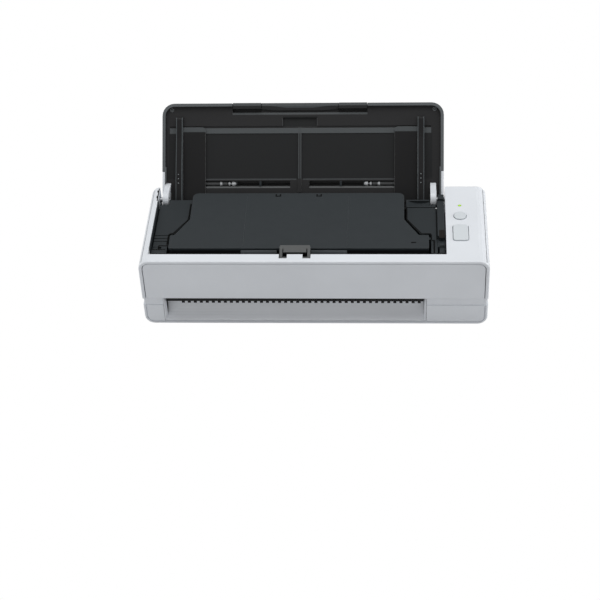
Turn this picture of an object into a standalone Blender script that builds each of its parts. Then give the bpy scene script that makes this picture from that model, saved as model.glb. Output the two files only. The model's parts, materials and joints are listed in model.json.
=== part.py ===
"""Travel document scanner: a compact desktop sheet-fed scanner with a leaning paper chute,
an inner cover over a U-shaped paper path and a front slot for booklets.

Metres, +X to the operator's right, +Y to the back, +Z up. The model is built round the middle of
its body and is then moved so that the origin is the bottom centre of its box at rest.
"""

import math

import bmesh
import bpy
from mathutils import Matrix, Vector

# Whole body
BODY_WIDTH = 0.296
BODY_DEPTH = 0.105
DECK_HEIGHT = 0.073
FOOT_HEIGHT = 0.003
SKIN = 0.0024
CORNER_RADIUS = 0.0085
EDGE_RADIUS = 0.0012
FIT = 0.0003
RUN = 0.0004
OVERRUN = 0.004

# Split lines round the body
UPPER_SPLIT = 0.032
BAND_BOTTOM = 0.024
BAND_INSET = 0.0016
BAND_SIDE_INSET = 0.0009
BASE_INSET = 0.0008
BASE_SIDE_INSET = 0.0001
BASE_GROOVE_INSET = 0.0021
BASE_GROOVE_WIDTH = 0.0009
BASE_GROOVE_DEPTH = 0.0008

# Well in the top, open to the back
LEFT_RIM = 0.0076
PANEL_WIDTH = 0.0359
FRONT_RIM = 0.0103
WELL_WALL = 0.002
WELL_WALL_SHARE = 0.44
FRONT_WALL_DEPTH = 0.0085
REAR_WALL_UNDER_DECK = 0.0285

# Upper front panel
PANEL_RIM = 0.0029
PANEL_TOP_RIM = 0.0023
PANEL_GAP = 0.0006
PANEL_INSET = 0.0003
PANEL_THICKNESS = 0.0025
PANEL_RADIUS = 0.0060

# Paper path
PATH_ROOM_LEFT = 0.0114
PATH_ROOM_RIGHT = 0.0141
PATH_FLOOR = 0.023
PATH_HEIGHT = 0.0056
FLOOR_THICKNESS = 0.002
SHEET_MARGIN = 0.0085

# Side frames of the path
FRAME_THICKNESS = 0.0027
FRAME_FRONT_FROM_FRONT = 0.0070
FRAME_REAR_FROM_REAR = 0.0040
FRAME_WAIST = 0.0294
FRONT_POST_UNDER_DECK = 0.0105
FRONT_POST_DEPTH = 0.0125
REAR_POST_SHARE = 0.63
REAR_POST_DEPTH = 0.0075

# Rollers, shafts and drive
FEED_AXIS_FROM_REAR = 0.0405
FEED_RADIUS = 0.007
FEED_PROUD = 0.002
FEED_HUB_RADIUS = 0.0055
FEED_SHAFT_RADIUS = 0.0026
FEED_TYRE_WIDTH = 0.018
FEED_SPREAD = 0.040
IDLER_RADIUS = 0.005
IDLER_SHAFT_RADIUS = 0.0015
IDLER_WIDTH = 0.014
EXIT_AXIS_FROM_FRONT = 0.0133
EXIT_AXIS_UNDER_DECK = 0.0170
EXIT_RADIUS = 0.0045
EXIT_SHAFT_RADIUS = 0.002
EXIT_SPREAD = 0.030
EXIT_ROLLER_WIDTH = 0.016
PICK_AXIS_FROM_REAR = 0.0100
PICK_RADIUS = 0.006
PICK_HUB_RADIUS = 0.0044
PICK_SHAFT_RADIUS = 0.0022
PICK_WIDTH = 0.028
BRAKE_RADIUS = 0.0055
NIP = 0.0005
GEAR_MODULE = 0.001
GEAR_WIDTH = 0.004
FEED_TEETH = 14
PICK_TEETH = 12
IDLER_TEETH = 21
PINION_TEETH = 12
GEAR_ROOT_SHARE = 1.2
GEAR_TIP_SHARE = 0.9
TOOTH_ROOT_SHARE = 0.30
TOOTH_CREST_SHARE = 0.12
BACKLASH = 0.0002
PINION_ANGLE = math.radians(110.0)
PULLEY_WIDTH = 0.004
FEED_PULLEY_RADIUS = 0.007
BELT_THICKNESS = 0.0012
BELT_WIDTH = 0.0034
MOTOR_RADIUS = 0.013
MOTOR_LENGTH = 0.024
MOTOR_SHAFT_RADIUS = 0.0015
BRACKET_THICKNESS = 0.0015
BRACKET_FOOT = 0.0095

# Inner cover over the path
ADF_FRONT_FROM_FRONT = 0.0217
ADF_REAR_FROM_REAR = 0.0113
ADF_FRONT_UNDER_DECK = 0.0030
ADF_REAR_OVER_DECK = 0.0010
ADF_SKIN = 0.0022
ADF_LIP = 0.0115
ADF_REAR_IN_LEFT = 0.0197
ADF_REAR_IN_RIGHT = 0.0215
ADF_SHOULDER_IN_LEFT = 0.0080
ADF_SHOULDER_IN_RIGHT = 0.0091
ADF_FRONT_IN_LEFT = 0.0045
ADF_FRONT_IN_RIGHT = 0.0005
ADF_SLANT_TOP_FROM_REAR = 0.0463
ADF_SLANT_LOW_FROM_FRONT = 0.0386
ADF_CORNER = 0.005
ADF_GAP = 0.0008
ADF_WING_GAP = 0.0018
ADF_WING_GAP_REAR = 0.0072
ADF_PIVOT_FROM_REAR = 0.0170
ADF_PIVOT_UNDER_DECK = 0.0130
ADF_PIN_RADIUS = 0.0022
ADF_PIN_LENGTH = 0.005
GUIDE_FRONT_FROM_FRONT = 0.0231
GUIDE_REAR_FROM_REAR = 0.0155
GUIDE_ROUND = 0.009

# Wings beside the inner cover
WING_TOP_UNDER_DECK = 0.0068
WING_SHELF_UNDER_DECK = 0.0135
WING_REAR_FROM_REAR = 0.0110
WING_FRONT_FROM_FRONT = 0.0285
WING_TOE_FROM_FRONT = 0.0195
WING_TOE_WIDTH = 0.0050
WING_WALL_UNDER_DECK = 0.0030
WING_RIM_GAP = 0.0016
WING_CHANNEL = 0.0012
WING_CHANNEL_UNDER_DECK = 0.0112
WING_STEPS_FROM_FRONT = (0.0435, 0.0395, 0.0355)
WING_STEP_WIDTH = 0.0009
WING_STEP_DEPTH = 0.0008
SCOOP_FRONT_FROM_REAR = 0.0215
SCOOP_WALL = 0.0014
SCOOP_IN = 0.0075
SCOOP_RADIUS = 0.0240
SCOOP_DEPTH = 0.0026
ARM_ROOM = 0.0008
LINER_THICKNESS = 0.0062

# Image sensors
SENSOR_CENTRE_FROM_FRONT = 0.0320
SENSOR_DEPTH = 0.012
SENSOR_MARGIN = 0.00525
SENSOR_HEIGHT_SHARE = 0.65
SENSOR_EDGE = 0.0005
GLASS_THICKNESS = 0.0016
GLASS_SETBACK = 0.0001

# Front and rear guides of the path
FRONT_GUIDE_FACE_FROM_FRONT = 0.0173
FRONT_GUIDE_UNDER_DECK = 0.0105
FRONT_GUIDE_DEPTH = 0.0100
GUIDE_NOSE = 0.003
REAR_GUIDE_FROM_REAR = 0.0026
REAR_GUIDE_TOP = 0.0502
ROLLER_ROOM = 0.001

# Flap between the two ways out
FLAP_HINGE_FROM_FRONT = 0.0225
FLAP_LENGTH = 0.0082
FLAP_THICKNESS = 0.0014
FLAP_PIN_RADIUS = 0.0006
FLAP_BARREL_RADIUS = 0.00068

# Front slot, its comb and its ramp
SLOT_MARGIN = 0.001
FRONT_SLOT_OUT_LEFT = 0.0016
FRONT_SLOT_IN_RIGHT = 0.0023
COMB_THICKNESS = 0.0014
COMB_SETBACK = 0.0004
COMB_PITCH = 0.0052
COMB_TOOTH = 0.0026
COMB_BAR = 0.0022
COMB_SKIRT = 0.0053
COMB_DROP = 0.0073
COMB_PLAIN_LEFT = 0.0110
RAMP_BOTTOM = 0.0065
RAMP_BACK_FROM_FRONT = 0.0133
RAMP_SAG = 0.0035
CHEEK_FRONT = 0.0005
CHEEK_REAR = 0.0019
CHEEK_REAR_FROM_FRONT = 0.0063

# Paper chute, in its own plane: along it from the pivot, and in front of or behind the pivot
CHUTE_LEAN = math.radians(41.0)
CHUTE_SHIFT = -0.0011
CHUTE_PIVOT_FROM_REAR = 0.0075
CHUTE_PIVOT_UNDER_DECK = 0.0090
CHUTE_HEEL = -0.007
CHUTE_BACK = -0.019
CHUTE_FACE = -0.012
CHUTE_RIM = -0.009
CHUTE_CLEARANCE = 0.0005
CHUTE_CORNER = 0.011
CHUTE_EDGE = 0.003
CHUTE_SKIN = 0.002
CHUTE_RIM_WIDTH = 0.0027
CHUTE_LINER = 0.0014
CHUTE_CHEEK_TOP = 0.0255
CHUTE_CHEEK = 0.0036
CHEEK_STEP = 0.0002
ARM_THICKNESS = 0.0052
ARM_RADIUS = 0.0068
ARM_INSET_LEFT = 0.0024
ARM_INSET_RIGHT = 0.0068
ARM_TOP = 0.0155
ARM_SWEEP = 0.0106
PIN_RADIUS = 0.0022

# Chute extension, two plates that slide out of the chute's top edge
EXTENSION_WIDTH = 0.120
EXTENSION_MIDDLE = 0.0696
EXTENSION_LENGTH = 0.050
EXTENSION_PLATE = 0.0013
EXTENSION_LIP = 0.0054
EXTENSION_SLANT = 0.0027
EXTENSION_INNER_DROP = 0.0017
EXTENSION_PROUD = 0.0006
EXTENSION_FACE = -0.0104
EXTENSION_RECESS = 0.0077
EXTENSION_BEVEL = 0.0024
EXTENSION_BEVEL_DEPTH = 0.0010
SCOOP_RISE = 0.0012

# Side guides of the chute with their racks and pinion
FIN_THICKNESS = 0.0058
FIN_PLATE = 0.0014
FIN_FOOT = 0.0205
FIN_LOW = -0.0015
FIN_TOP_FROM_TIP = 0.0123
FIN_PLATE_TOP_FROM_TIP = 0.0212
FIN_HEIGHT = 0.0070
FIN_LOW_HEIGHT = 0.0042
FIN_TAPER_LOW = 0.0240
FIN_TAPER_TOP_FROM_TIP = 0.0307
GUIDE_TRAVEL = 0.066
RACK_MODULE = 0.0008
RACK_PINION_TEETH = 10
RACK_THICKNESS = 0.0011
RACK_BACK = 0.0016
RACK_AXIS = 0.0008
RACK_PAST_PINION = 0.006
RACK_TIP_SHARE = 0.9
RACK_ROOT_SHARE = 0.28
RACK_CREST_SHARE = 0.13
STEM_LOW = 0.0012
STEM_TOP = 0.0032
STEM_WIDTH = 0.0032
STEM_INSET = 0.0180
PINION_PIN_RADIUS = 0.0012

# Rollers set in the chute
CHUTE_SLOT_LOW = 0.0129
CHUTE_SLOT_TOP = 0.0175
CHUTE_SLOT_BEVEL = 0.0018
CHUTE_SLOT_INNER = 0.0086
CHUTE_SLOT_UNDER_PLATE = 0.0040
CHUTE_ROLLER_RADIUS = 0.0020
CHUTE_ROLLER_SLIM = 0.0017
CHUTE_ROLLER_SHAFT = 0.0008
CHUTE_ROLLER_DEPTH = -0.0147
CHUTE_ROLLER_END = 0.0030
CHUTE_ROLLER_LENGTH = 0.0288
CHUTE_STEP_SHARES = (0.0, 0.46, 0.50, 0.79, 0.85, 0.93, 1.0)

# Pocket, ledge and rib on the chute's face
POCKET_LOW_FROM_TIP = 0.0207
POCKET_TOP_FROM_TIP = 0.0117
POCKET_SHELF_DEPTH = 0.0014
POCKET_WIDTH = 0.0306
LEDGE_LOW_FROM_TIP = 0.0267
GROOVE_LOW_FROM_TIP = 0.0219
GROOVE_WIDTH = 0.0018
GROOVE_DEPTH = 0.0009
GROOVE_PAST_GUIDE = 0.012
RECESS_LOW = 0.0190
RECESS_DEPTH = 0.0005
RIB_WIDTH = 0.0030
RIB_PROUD = 0.0008
RIB_LOW = 0.0070

# Exit guide, the bracket in front of the inner cover
EXIT_GUIDE_WIDTH = 0.0260
EXIT_GUIDE_FOOT = 0.0060
EXIT_GUIDE_LEG = 0.0024
EXIT_GUIDE_SLOT = 0.0009
EXIT_GUIDE_SLOT_LENGTH = 0.0033
EXIT_GUIDE_PIVOT_FROM_FRONT = 0.0075
EXIT_GUIDE_PIVOT_UNDER_DECK = 0.0032
EXIT_GUIDE_TIP_FROM_FRONT = 0.0185
EXIT_GUIDE_TIP_OVER_DECK = 0.0027
EXIT_GUIDE_THICKNESS = 0.0018
EXIT_GUIDE_BAR = 0.0065
EXIT_GUIDE_BARREL = 0.0021
EXIT_GUIDE_BARREL_IN = 0.0002
EXIT_GUIDE_PIN = 0.0010
RIM_BOSS_DROP = 0.0045
RIM_BOSS_MARGIN = 0.003

# Operator panel
PANEL_BUTTON_IN = 0.0235
POWER_BUTTON_FROM_FRONT = 0.0623
POWER_BUTTON_RADIUS = 0.0052
SCAN_BUTTON_FROM_FRONT = 0.0389
SCAN_BUTTON_WIDTH = 0.0128
SCAN_BUTTON_LENGTH = 0.0210
SCAN_BUTTON_RADIUS = 0.0022
BUTTON_PROUD = 0.0010
BUTTON_TRAVEL = 0.0012
BUTTON_GAP = 0.0005
BUTTON_FLANGE = 0.0012
BUTTON_FLANGE_THICKNESS = 0.0012
BUTTON_STEM_RADIUS = 0.0025
LENS_FROM_FRONT = 0.0769
LENS_RADIUS = 0.0010
LENS_LENGTH_SHARE = 1.2
LENS_PROUD = 0.0002
BOARD_THICKNESS = 0.0016
PANEL_BOARD_UNDER_DECK = 0.0110
PANEL_BOARD_FRONT_FROM_FRONT = 0.0225
PANEL_BOARD_REAR_FROM_FRONT = 0.0845

# Sockets at the back and the main board
MAIN_BOARD_IN = 0.0335
MAIN_BOARD_FRONT_FROM_REAR = 0.0425
JACK_WIDTH = 0.0100
JACK_HEIGHT = 0.0110
JACK_DEPTH = 0.0130
JACK_BORE = 0.0032
JACK_CENTRE_PIN = 0.001
JACK_EDGE = 0.0005
JACK_IN = 0.0150
USB_WIDTH = 0.0120
USB_HEIGHT = 0.0100
USB_IN = 0.0285
SOCKET_WALL = 0.0015
SOCKET_FIT = 0.0004

# Feet
FOOT_RADIUS = 0.0070
FOOT_INSET_X = 0.022
FOOT_INSET_Y = 0.0135

# Places worked out from the sizes above
HALF_WIDTH = BODY_WIDTH / 2
HALF_DEPTH = BODY_DEPTH / 2
REAR_POST_TOP = REAR_POST_SHARE * DECK_HEIGHT
REAR_WALL_TOP = DECK_HEIGHT - REAR_WALL_UNDER_DECK
FRONT_POST_TOP = DECK_HEIGHT - FRONT_POST_UNDER_DECK
EXIT_AXIS_Z = DECK_HEIGHT - EXIT_AXIS_UNDER_DECK
ADF_FRONT_Z = DECK_HEIGHT - ADF_FRONT_UNDER_DECK
ADF_REAR_Z = DECK_HEIGHT + ADF_REAR_OVER_DECK
ADF_PIVOT_Z = DECK_HEIGHT - ADF_PIVOT_UNDER_DECK
WING_TOP = DECK_HEIGHT - WING_TOP_UNDER_DECK
WING_SHELF = DECK_HEIGHT - WING_SHELF_UNDER_DECK
WING_WALL_TOP = DECK_HEIGHT - WING_WALL_UNDER_DECK
WING_CHANNEL_FLOOR = DECK_HEIGHT - WING_CHANNEL_UNDER_DECK
FRONT_GUIDE_TOP = DECK_HEIGHT - FRONT_GUIDE_UNDER_DECK
CHUTE_PIVOT_Z = DECK_HEIGHT - CHUTE_PIVOT_UNDER_DECK
EXIT_GUIDE_PIVOT_Z = DECK_HEIGHT - EXIT_GUIDE_PIVOT_UNDER_DECK
EXIT_GUIDE_TIP_Z = DECK_HEIGHT + EXIT_GUIDE_TIP_OVER_DECK
PANEL_BOARD_TOP = DECK_HEIGHT - PANEL_BOARD_UNDER_DECK
FRONT_Y = -HALF_DEPTH
REAR_Y = HALF_DEPTH
FRAME_FRONT = FRONT_Y + FRAME_FRONT_FROM_FRONT
EXIT_AXIS_Y = FRONT_Y + EXIT_AXIS_FROM_FRONT
ADF_FRONT_Y = FRONT_Y + ADF_FRONT_FROM_FRONT
ADF_SLANT_LOW_Y = FRONT_Y + ADF_SLANT_LOW_FROM_FRONT
GUIDE_FRONT_Y = FRONT_Y + GUIDE_FRONT_FROM_FRONT
WING_FRONT_Y = FRONT_Y + WING_FRONT_FROM_FRONT
WING_TOE_Y = FRONT_Y + WING_TOE_FROM_FRONT
SENSOR_CENTRE_Y = FRONT_Y + SENSOR_CENTRE_FROM_FRONT
FRONT_GUIDE_FACE_Y = FRONT_Y + FRONT_GUIDE_FACE_FROM_FRONT
FLAP_HINGE_Y = FRONT_Y + FLAP_HINGE_FROM_FRONT
RAMP_BACK_Y = FRONT_Y + RAMP_BACK_FROM_FRONT
CHEEK_REAR_Y = FRONT_Y + CHEEK_REAR_FROM_FRONT
EXIT_GUIDE_PIVOT_Y = FRONT_Y + EXIT_GUIDE_PIVOT_FROM_FRONT
EXIT_GUIDE_TIP_Y = FRONT_Y + EXIT_GUIDE_TIP_FROM_FRONT
POWER_BUTTON_Y = FRONT_Y + POWER_BUTTON_FROM_FRONT
SCAN_BUTTON_Y = FRONT_Y + SCAN_BUTTON_FROM_FRONT
LENS_Y = FRONT_Y + LENS_FROM_FRONT
PANEL_BOARD_FRONT = FRONT_Y + PANEL_BOARD_FRONT_FROM_FRONT
PANEL_BOARD_REAR = FRONT_Y + PANEL_BOARD_REAR_FROM_FRONT
FRAME_REAR = REAR_Y - FRAME_REAR_FROM_REAR
FEED_AXIS_Y = REAR_Y - FEED_AXIS_FROM_REAR
PICK_AXIS_Y = REAR_Y - PICK_AXIS_FROM_REAR
ADF_REAR_Y = REAR_Y - ADF_REAR_FROM_REAR
ADF_SLANT_TOP_Y = REAR_Y - ADF_SLANT_TOP_FROM_REAR
ADF_PIVOT_Y = REAR_Y - ADF_PIVOT_FROM_REAR
GUIDE_REAR_Y = REAR_Y - GUIDE_REAR_FROM_REAR
WING_REAR_Y = REAR_Y - WING_REAR_FROM_REAR
SCOOP_FRONT_Y = REAR_Y - SCOOP_FRONT_FROM_REAR
REAR_GUIDE_Y = REAR_Y - REAR_GUIDE_FROM_REAR
CHUTE_PIVOT_Y = REAR_Y - CHUTE_PIVOT_FROM_REAR
MAIN_BOARD_FRONT = REAR_Y - MAIN_BOARD_FRONT_FROM_REAR
WELL_LEFT = -HALF_WIDTH + LEFT_RIM
WELL_RIGHT = HALF_WIDTH - PANEL_WIDTH
WELL_FRONT = FRONT_Y + FRONT_RIM
DECK_UNDER = DECK_HEIGHT - SKIN
WELL_WALL_LOW = UPPER_SPLIT + WELL_WALL_SHARE * (DECK_HEIGHT - UPPER_SPLIT)
PATH_LEFT = WELL_LEFT + PATH_ROOM_LEFT
PATH_RIGHT = WELL_RIGHT - PATH_ROOM_RIGHT
PATH_CENTRE = (PATH_LEFT + PATH_RIGHT) / 2
PATH_WIDTH = PATH_RIGHT - PATH_LEFT
SHEET_WIDTH = PATH_WIDTH - 2 * SHEET_MARGIN
SENSOR_LENGTH = PATH_WIDTH - 2 * SENSOR_MARGIN
CHUTE_CENTRE = PATH_CENTRE + CHUTE_SHIFT
ADF_REAR_LEFT = PATH_WIDTH / 2 - ADF_REAR_IN_LEFT
ADF_REAR_RIGHT = PATH_WIDTH / 2 - ADF_REAR_IN_RIGHT
ADF_SHOULDER_LEFT = PATH_WIDTH / 2 - ADF_SHOULDER_IN_LEFT
ADF_SHOULDER_RIGHT = PATH_WIDTH / 2 - ADF_SHOULDER_IN_RIGHT
ADF_FRONT_LEFT = PATH_WIDTH / 2 - ADF_FRONT_IN_LEFT
ADF_FRONT_RIGHT = PATH_WIDTH / 2 - ADF_FRONT_IN_RIGHT
FRONT_SLOT_LEFT = PATH_LEFT - FRONT_SLOT_OUT_LEFT
FRONT_SLOT_RIGHT = PATH_RIGHT - FRONT_SLOT_IN_RIGHT
PANEL_BUTTON_X = HALF_WIDTH - PANEL_BUTTON_IN
MAIN_BOARD_LEFT = HALF_WIDTH - MAIN_BOARD_IN
JACK_X = HALF_WIDTH - JACK_IN
USB_X = HALF_WIDTH - USB_IN
WING_LEFT_EDGE = WELL_LEFT + WING_RIM_GAP
SCOOP_MIDDLE = PATH_RIGHT - SCOOP_IN
CHUTE_SLOT_OUTER = SHEET_WIDTH / 2 - FIN_FOOT + CHUTE_SLOT_UNDER_PLATE
CHUTE_ROLLER_OUTER = CHUTE_SLOT_OUTER - CHUTE_ROLLER_END
CHUTE_ROLLER_INNER = CHUTE_ROLLER_OUTER - CHUTE_ROLLER_LENGTH
GROOVE_HALF = SHEET_WIDTH / 2 + GROOVE_PAST_GUIDE
PATH_ROOF = PATH_FLOOR + PATH_HEIGHT
FLOOR_UNDER = PATH_FLOOR - FLOOR_THICKNESS
PLATE_TOP = FOOT_HEIGHT + SKIN
FEED_AXIS_Z = PATH_FLOOR + FEED_PROUD - FEED_RADIUS
FEED_IDLER_Z = PATH_FLOOR + FEED_PROUD + NIP + IDLER_RADIUS
EXIT_IDLER_Y = EXIT_AXIS_Y + EXIT_RADIUS + NIP + IDLER_RADIUS
FEED_PITCH = GEAR_MODULE * FEED_TEETH / 2
IDLER_PITCH = GEAR_MODULE * IDLER_TEETH / 2
PICK_PITCH = GEAR_MODULE * PICK_TEETH / 2
PINION_PITCH = GEAR_MODULE * PINION_TEETH / 2
GEAR_REACH = FEED_PITCH + 2 * IDLER_PITCH + PICK_PITCH + 2 * BACKLASH
PICK_AXIS_Z = FEED_AXIS_Z + math.sqrt(GEAR_REACH ** 2 - (PICK_AXIS_Y - FEED_AXIS_Y) ** 2)
IDLER_SHARE = (FEED_PITCH + IDLER_PITCH + BACKLASH) / GEAR_REACH
IDLER_AXIS_Y = FEED_AXIS_Y + IDLER_SHARE * (PICK_AXIS_Y - FEED_AXIS_Y)
IDLER_AXIS_Z = FEED_AXIS_Z + IDLER_SHARE * (PICK_AXIS_Z - FEED_AXIS_Z)
PINION_REACH = FEED_PITCH + PINION_PITCH + BACKLASH
MOTOR_Y = FEED_AXIS_Y + PINION_REACH * math.cos(PINION_ANGLE)
MOTOR_Z = FEED_AXIS_Z + PINION_REACH * math.sin(PINION_ANGLE)
EXIT_PULLEY_RADIUS = FEED_PULLEY_RADIUS * EXIT_RADIUS / FEED_RADIUS
PULLEY_X = PATH_RIGHT + FRAME_THICKNESS + 2 * RUN
GEAR_X = PULLEY_X + PULLEY_WIDTH + RUN
BRACKET_X = GEAR_X + GEAR_WIDTH + RUN
BRAKE_Y = PICK_AXIS_Y - PICK_RADIUS - NIP - BRAKE_RADIUS
CHUTE_LEFT = WELL_LEFT + CHUTE_CLEARANCE
CHUTE_RIGHT = WELL_RIGHT - CHUTE_CLEARANCE
CHUTE_TIP = CHUTE_PIVOT_Y - WELL_FRONT - CHUTE_CLEARANCE
FIN_TOP = CHUTE_TIP - FIN_TOP_FROM_TIP
FIN_PLATE_TOP = CHUTE_TIP - FIN_PLATE_TOP_FROM_TIP
FIN_TAPER_TOP = CHUTE_TIP - FIN_TAPER_TOP_FROM_TIP
POCKET_TOP = CHUTE_TIP - POCKET_TOP_FROM_TIP
POCKET_LOW = CHUTE_TIP - POCKET_LOW_FROM_TIP
LEDGE_LOW = CHUTE_TIP - LEDGE_LOW_FROM_TIP
GROOVE_LOW = CHUTE_TIP - GROOVE_LOW_FROM_TIP
ARM_LEFT = CHUTE_LEFT + ARM_INSET_LEFT
ARM_RIGHT = CHUTE_RIGHT - ARM_INSET_RIGHT
RACK_PITCH_RADIUS = RACK_MODULE * RACK_PINION_TEETH / 2


# Modelling helpers

def clear_scene():
    for item in list(bpy.data.objects):
        bpy.data.objects.remove(item, do_unlink=True)


def plastic(name, colour, roughness, metallic=0.0):
    """A material with a Principled surface of one colour."""
    found = bpy.data.materials.get(name)
    if found:
        return found
    made = bpy.data.materials.new(name)
    made.use_nodes = True
    made.diffuse_color = (*colour, 1.0)
    surface = made.node_tree.nodes["Principled BSDF"]
    surface.inputs["Base Color"].default_value = (*colour, 1.0)
    surface.inputs["Roughness"].default_value = roughness
    surface.inputs["Metallic"].default_value = metallic
    return made


def rounded(points, radii, steps=5):
    """The outline with its corners rounded; radii is one radius or one for each point."""
    if not isinstance(radii, (list, tuple)):
        radii = [radii] * len(points)
    outline = []
    for index, (point, radius) in enumerate(zip(points, radii)):
        here = Vector(point)
        if radius <= 0:
            outline.append(tuple(here))
            continue
        back = (Vector(points[index - 1]) - here).normalized()
        ahead = (Vector(points[(index + 1) % len(points)]) - here).normalized()
        half = back.angle(ahead) / 2
        middle = here + (back + ahead).normalized() * (radius / math.sin(half))
        first = here + back * (radius / math.tan(half)) - middle
        last = here + ahead * (radius / math.tan(half)) - middle
        sweep = first.angle_signed(last)
        for step in range(steps + 1):
            turn = Matrix.Rotation(-sweep * step / steps, 2)
            outline.append(tuple(middle + turn @ first))
    return outline


def on_axis(axis, along, across):
    """A point from its place along an axis and its two other coordinates, in X, Y, Z order."""
    first, second = across
    return {"x": (along, first, second), "y": (first, along, second), "z": (first, second, along)}[axis]


def prism(axis, outline, low, high):
    """A closed solid between two flat ends square to an axis."""
    form = bmesh.new()
    ends = []
    for along in (low, high):
        ends.append([form.verts.new(on_axis(axis, along, point)) for point in outline])
    count = len(outline)
    for index in range(count):
        following = (index + 1) % count
        form.faces.new((ends[0][index], ends[0][following], ends[1][following], ends[1][index]))
    form.faces.new(ends[0])
    form.faces.new(ends[1])
    bmesh.ops.recalc_face_normals(form, faces=form.faces)
    return form


def slab(x, y, z):
    """A box from its low and high place on each axis."""
    return prism("z", [(x[0], y[0]), (x[1], y[0]), (x[1], y[1]), (x[0], y[1])], z[0], z[1])


def soft_slab(x, y, z, radius, steps=2):
    """A box whose edges are all rounded."""
    form = slab(x, y, z)
    bmesh.ops.bevel(form, geom=form.edges[:], offset=radius, segments=steps, profile=0.5, affect="EDGES")
    return form


def circle(centre, radius, sides):
    return [(centre[0] + radius * math.cos(math.tau * turn / sides),
             centre[1] + radius * math.sin(math.tau * turn / sides)) for turn in range(sides)]


def rod(axis, centre, radius, low, high, sides=20):
    return prism(axis, circle(centre, radius, sides), low, high)


def turned(centre, steps, sides=16):
    """A shaft along X from its (place, radius) steps."""
    form = bmesh.new()
    rings = []
    for place, radius in steps:
        rings.append([form.verts.new((place, *point)) for point in circle(centre, radius, sides)])
    for near, far in zip(rings, rings[1:]):
        for side in range(sides):
            following = (side + 1) % sides
            form.faces.new((near[side], near[following], far[following], far[side]))
    form.faces.new(rings[0])
    form.faces.new(rings[-1])
    bmesh.ops.recalc_face_normals(form, faces=form.faces)
    return form


def stepped(runs):
    """The (place, radius) steps of a shaft from its (start, end, radius) runs."""
    steps = []
    for start, end, radius in runs:
        steps += [(start, radius), (end, radius)]
    return steps


def ring(axis, centre, outer, inner, low, high, sides=20):
    """A tube: its outer wall, its bore and its two flat ends."""
    form = bmesh.new()
    loops = []
    for along, radius in ((low, outer), (high, outer), (high, inner), (low, inner)):
        points = circle(centre, radius, sides)
        loops.append([form.verts.new(on_axis(axis, along, point)) for point in points])
    for near, far in zip(loops, loops[1:] + loops[:1]):
        for side in range(sides):
            following = (side + 1) % sides
            form.faces.new((near[side], near[following], far[following], far[side]))
    bmesh.ops.recalc_face_normals(form, faces=form.faces)
    return form


def gear_outline(centre, teeth, module, phase=0.0):
    """Trapezoid teeth, a little narrow so that they run with backlash."""
    root = module * (teeth / 2 - GEAR_ROOT_SHARE)
    tip = module * (teeth / 2 + GEAR_TIP_SHARE)
    pitch = math.tau / teeth
    wide, narrow = TOOTH_ROOT_SHARE * pitch, TOOTH_CREST_SHARE * pitch
    outline = []
    for tooth in range(teeth):
        middle = phase + tooth * pitch
        for offset, radius in ((-wide, root), (-narrow, tip), (narrow, tip), (wide, root)):
            angle = middle + offset
            outline.append((centre[0] + radius * math.cos(angle), centre[1] + radius * math.sin(angle)))
    return outline


def temporary(form):
    mesh = bpy.data.meshes.new("form")
    form.to_mesh(mesh)
    form.free()
    holder = bpy.data.objects.new("form", mesh)
    bpy.context.scene.collection.objects.link(holder)
    return holder


def combined(form, operation, tools):
    """The form after Boolean steps with each tool, as a new form."""
    if not tools:
        return form
    target = temporary(form)
    helpers = [temporary(tool) for tool in tools]
    for helper in helpers:
        step = target.modifiers.new(operation, "BOOLEAN")
        step.operation = operation
        step.solver = "EXACT"
        step.object = helper
    bpy.context.view_layer.update()
    graph = bpy.context.evaluated_depsgraph_get()
    result = bmesh.new()
    result.from_object(target, graph)
    for item in [target] + helpers:
        mesh = item.data
        bpy.data.objects.remove(item, do_unlink=True)
        bpy.data.meshes.remove(mesh)
    return result


def cut(form, *tools):
    return combined(form, "DIFFERENCE", tools)


def union(form, *tools):
    return combined(form, "UNION", tools)


def common(form, *tools):
    return combined(form, "INTERSECT", tools)


def node(name, form, look, pivot=None, smooth=30.0):
    """A named sub-part, hung on its pivot. Its form is drawn in the same frame as the pivot's place."""
    mesh = bpy.data.meshes.new(name)
    form.to_mesh(mesh)
    form.free()
    piece = bpy.data.objects.new(name, mesh)
    bpy.context.scene.collection.objects.link(piece)
    mesh.materials.append(look)
    mesh.shade_smooth()
    mesh.set_sharp_from_angle(angle=math.radians(smooth))
    piece.parent = pivot or bpy.data.objects["body_middle"]
    if pivot:
        mesh.transform(Matrix.Translation(-Vector(pivot["drawn_at"])))
    return piece


def pivot_at(name, place, parent=None, lean=0.0, own_frame=False):
    """An empty on a joint's axis. What hangs on one with its own frame is drawn round its centre."""
    pivot = bpy.data.objects.new(name, None)
    bpy.context.scene.collection.objects.link(pivot)
    if parent is None:
        parent = bpy.data.objects["body_middle"]
    pivot.location = Vector(place) - Vector(parent["drawn_at"])
    pivot.rotation_euler = (lean, 0.0, 0.0)
    pivot["drawn_at"] = (0.0, 0.0, 0.0) if own_frame else tuple(place)
    pivot.parent = parent
    return pivot


def make_body_middle():
    """The empty that carries the whole part."""
    middle = bpy.data.objects.new("body_middle", None)
    bpy.context.scene.collection.objects.link(middle)
    middle["drawn_at"] = (0.0, 0.0, 0.0)


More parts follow.
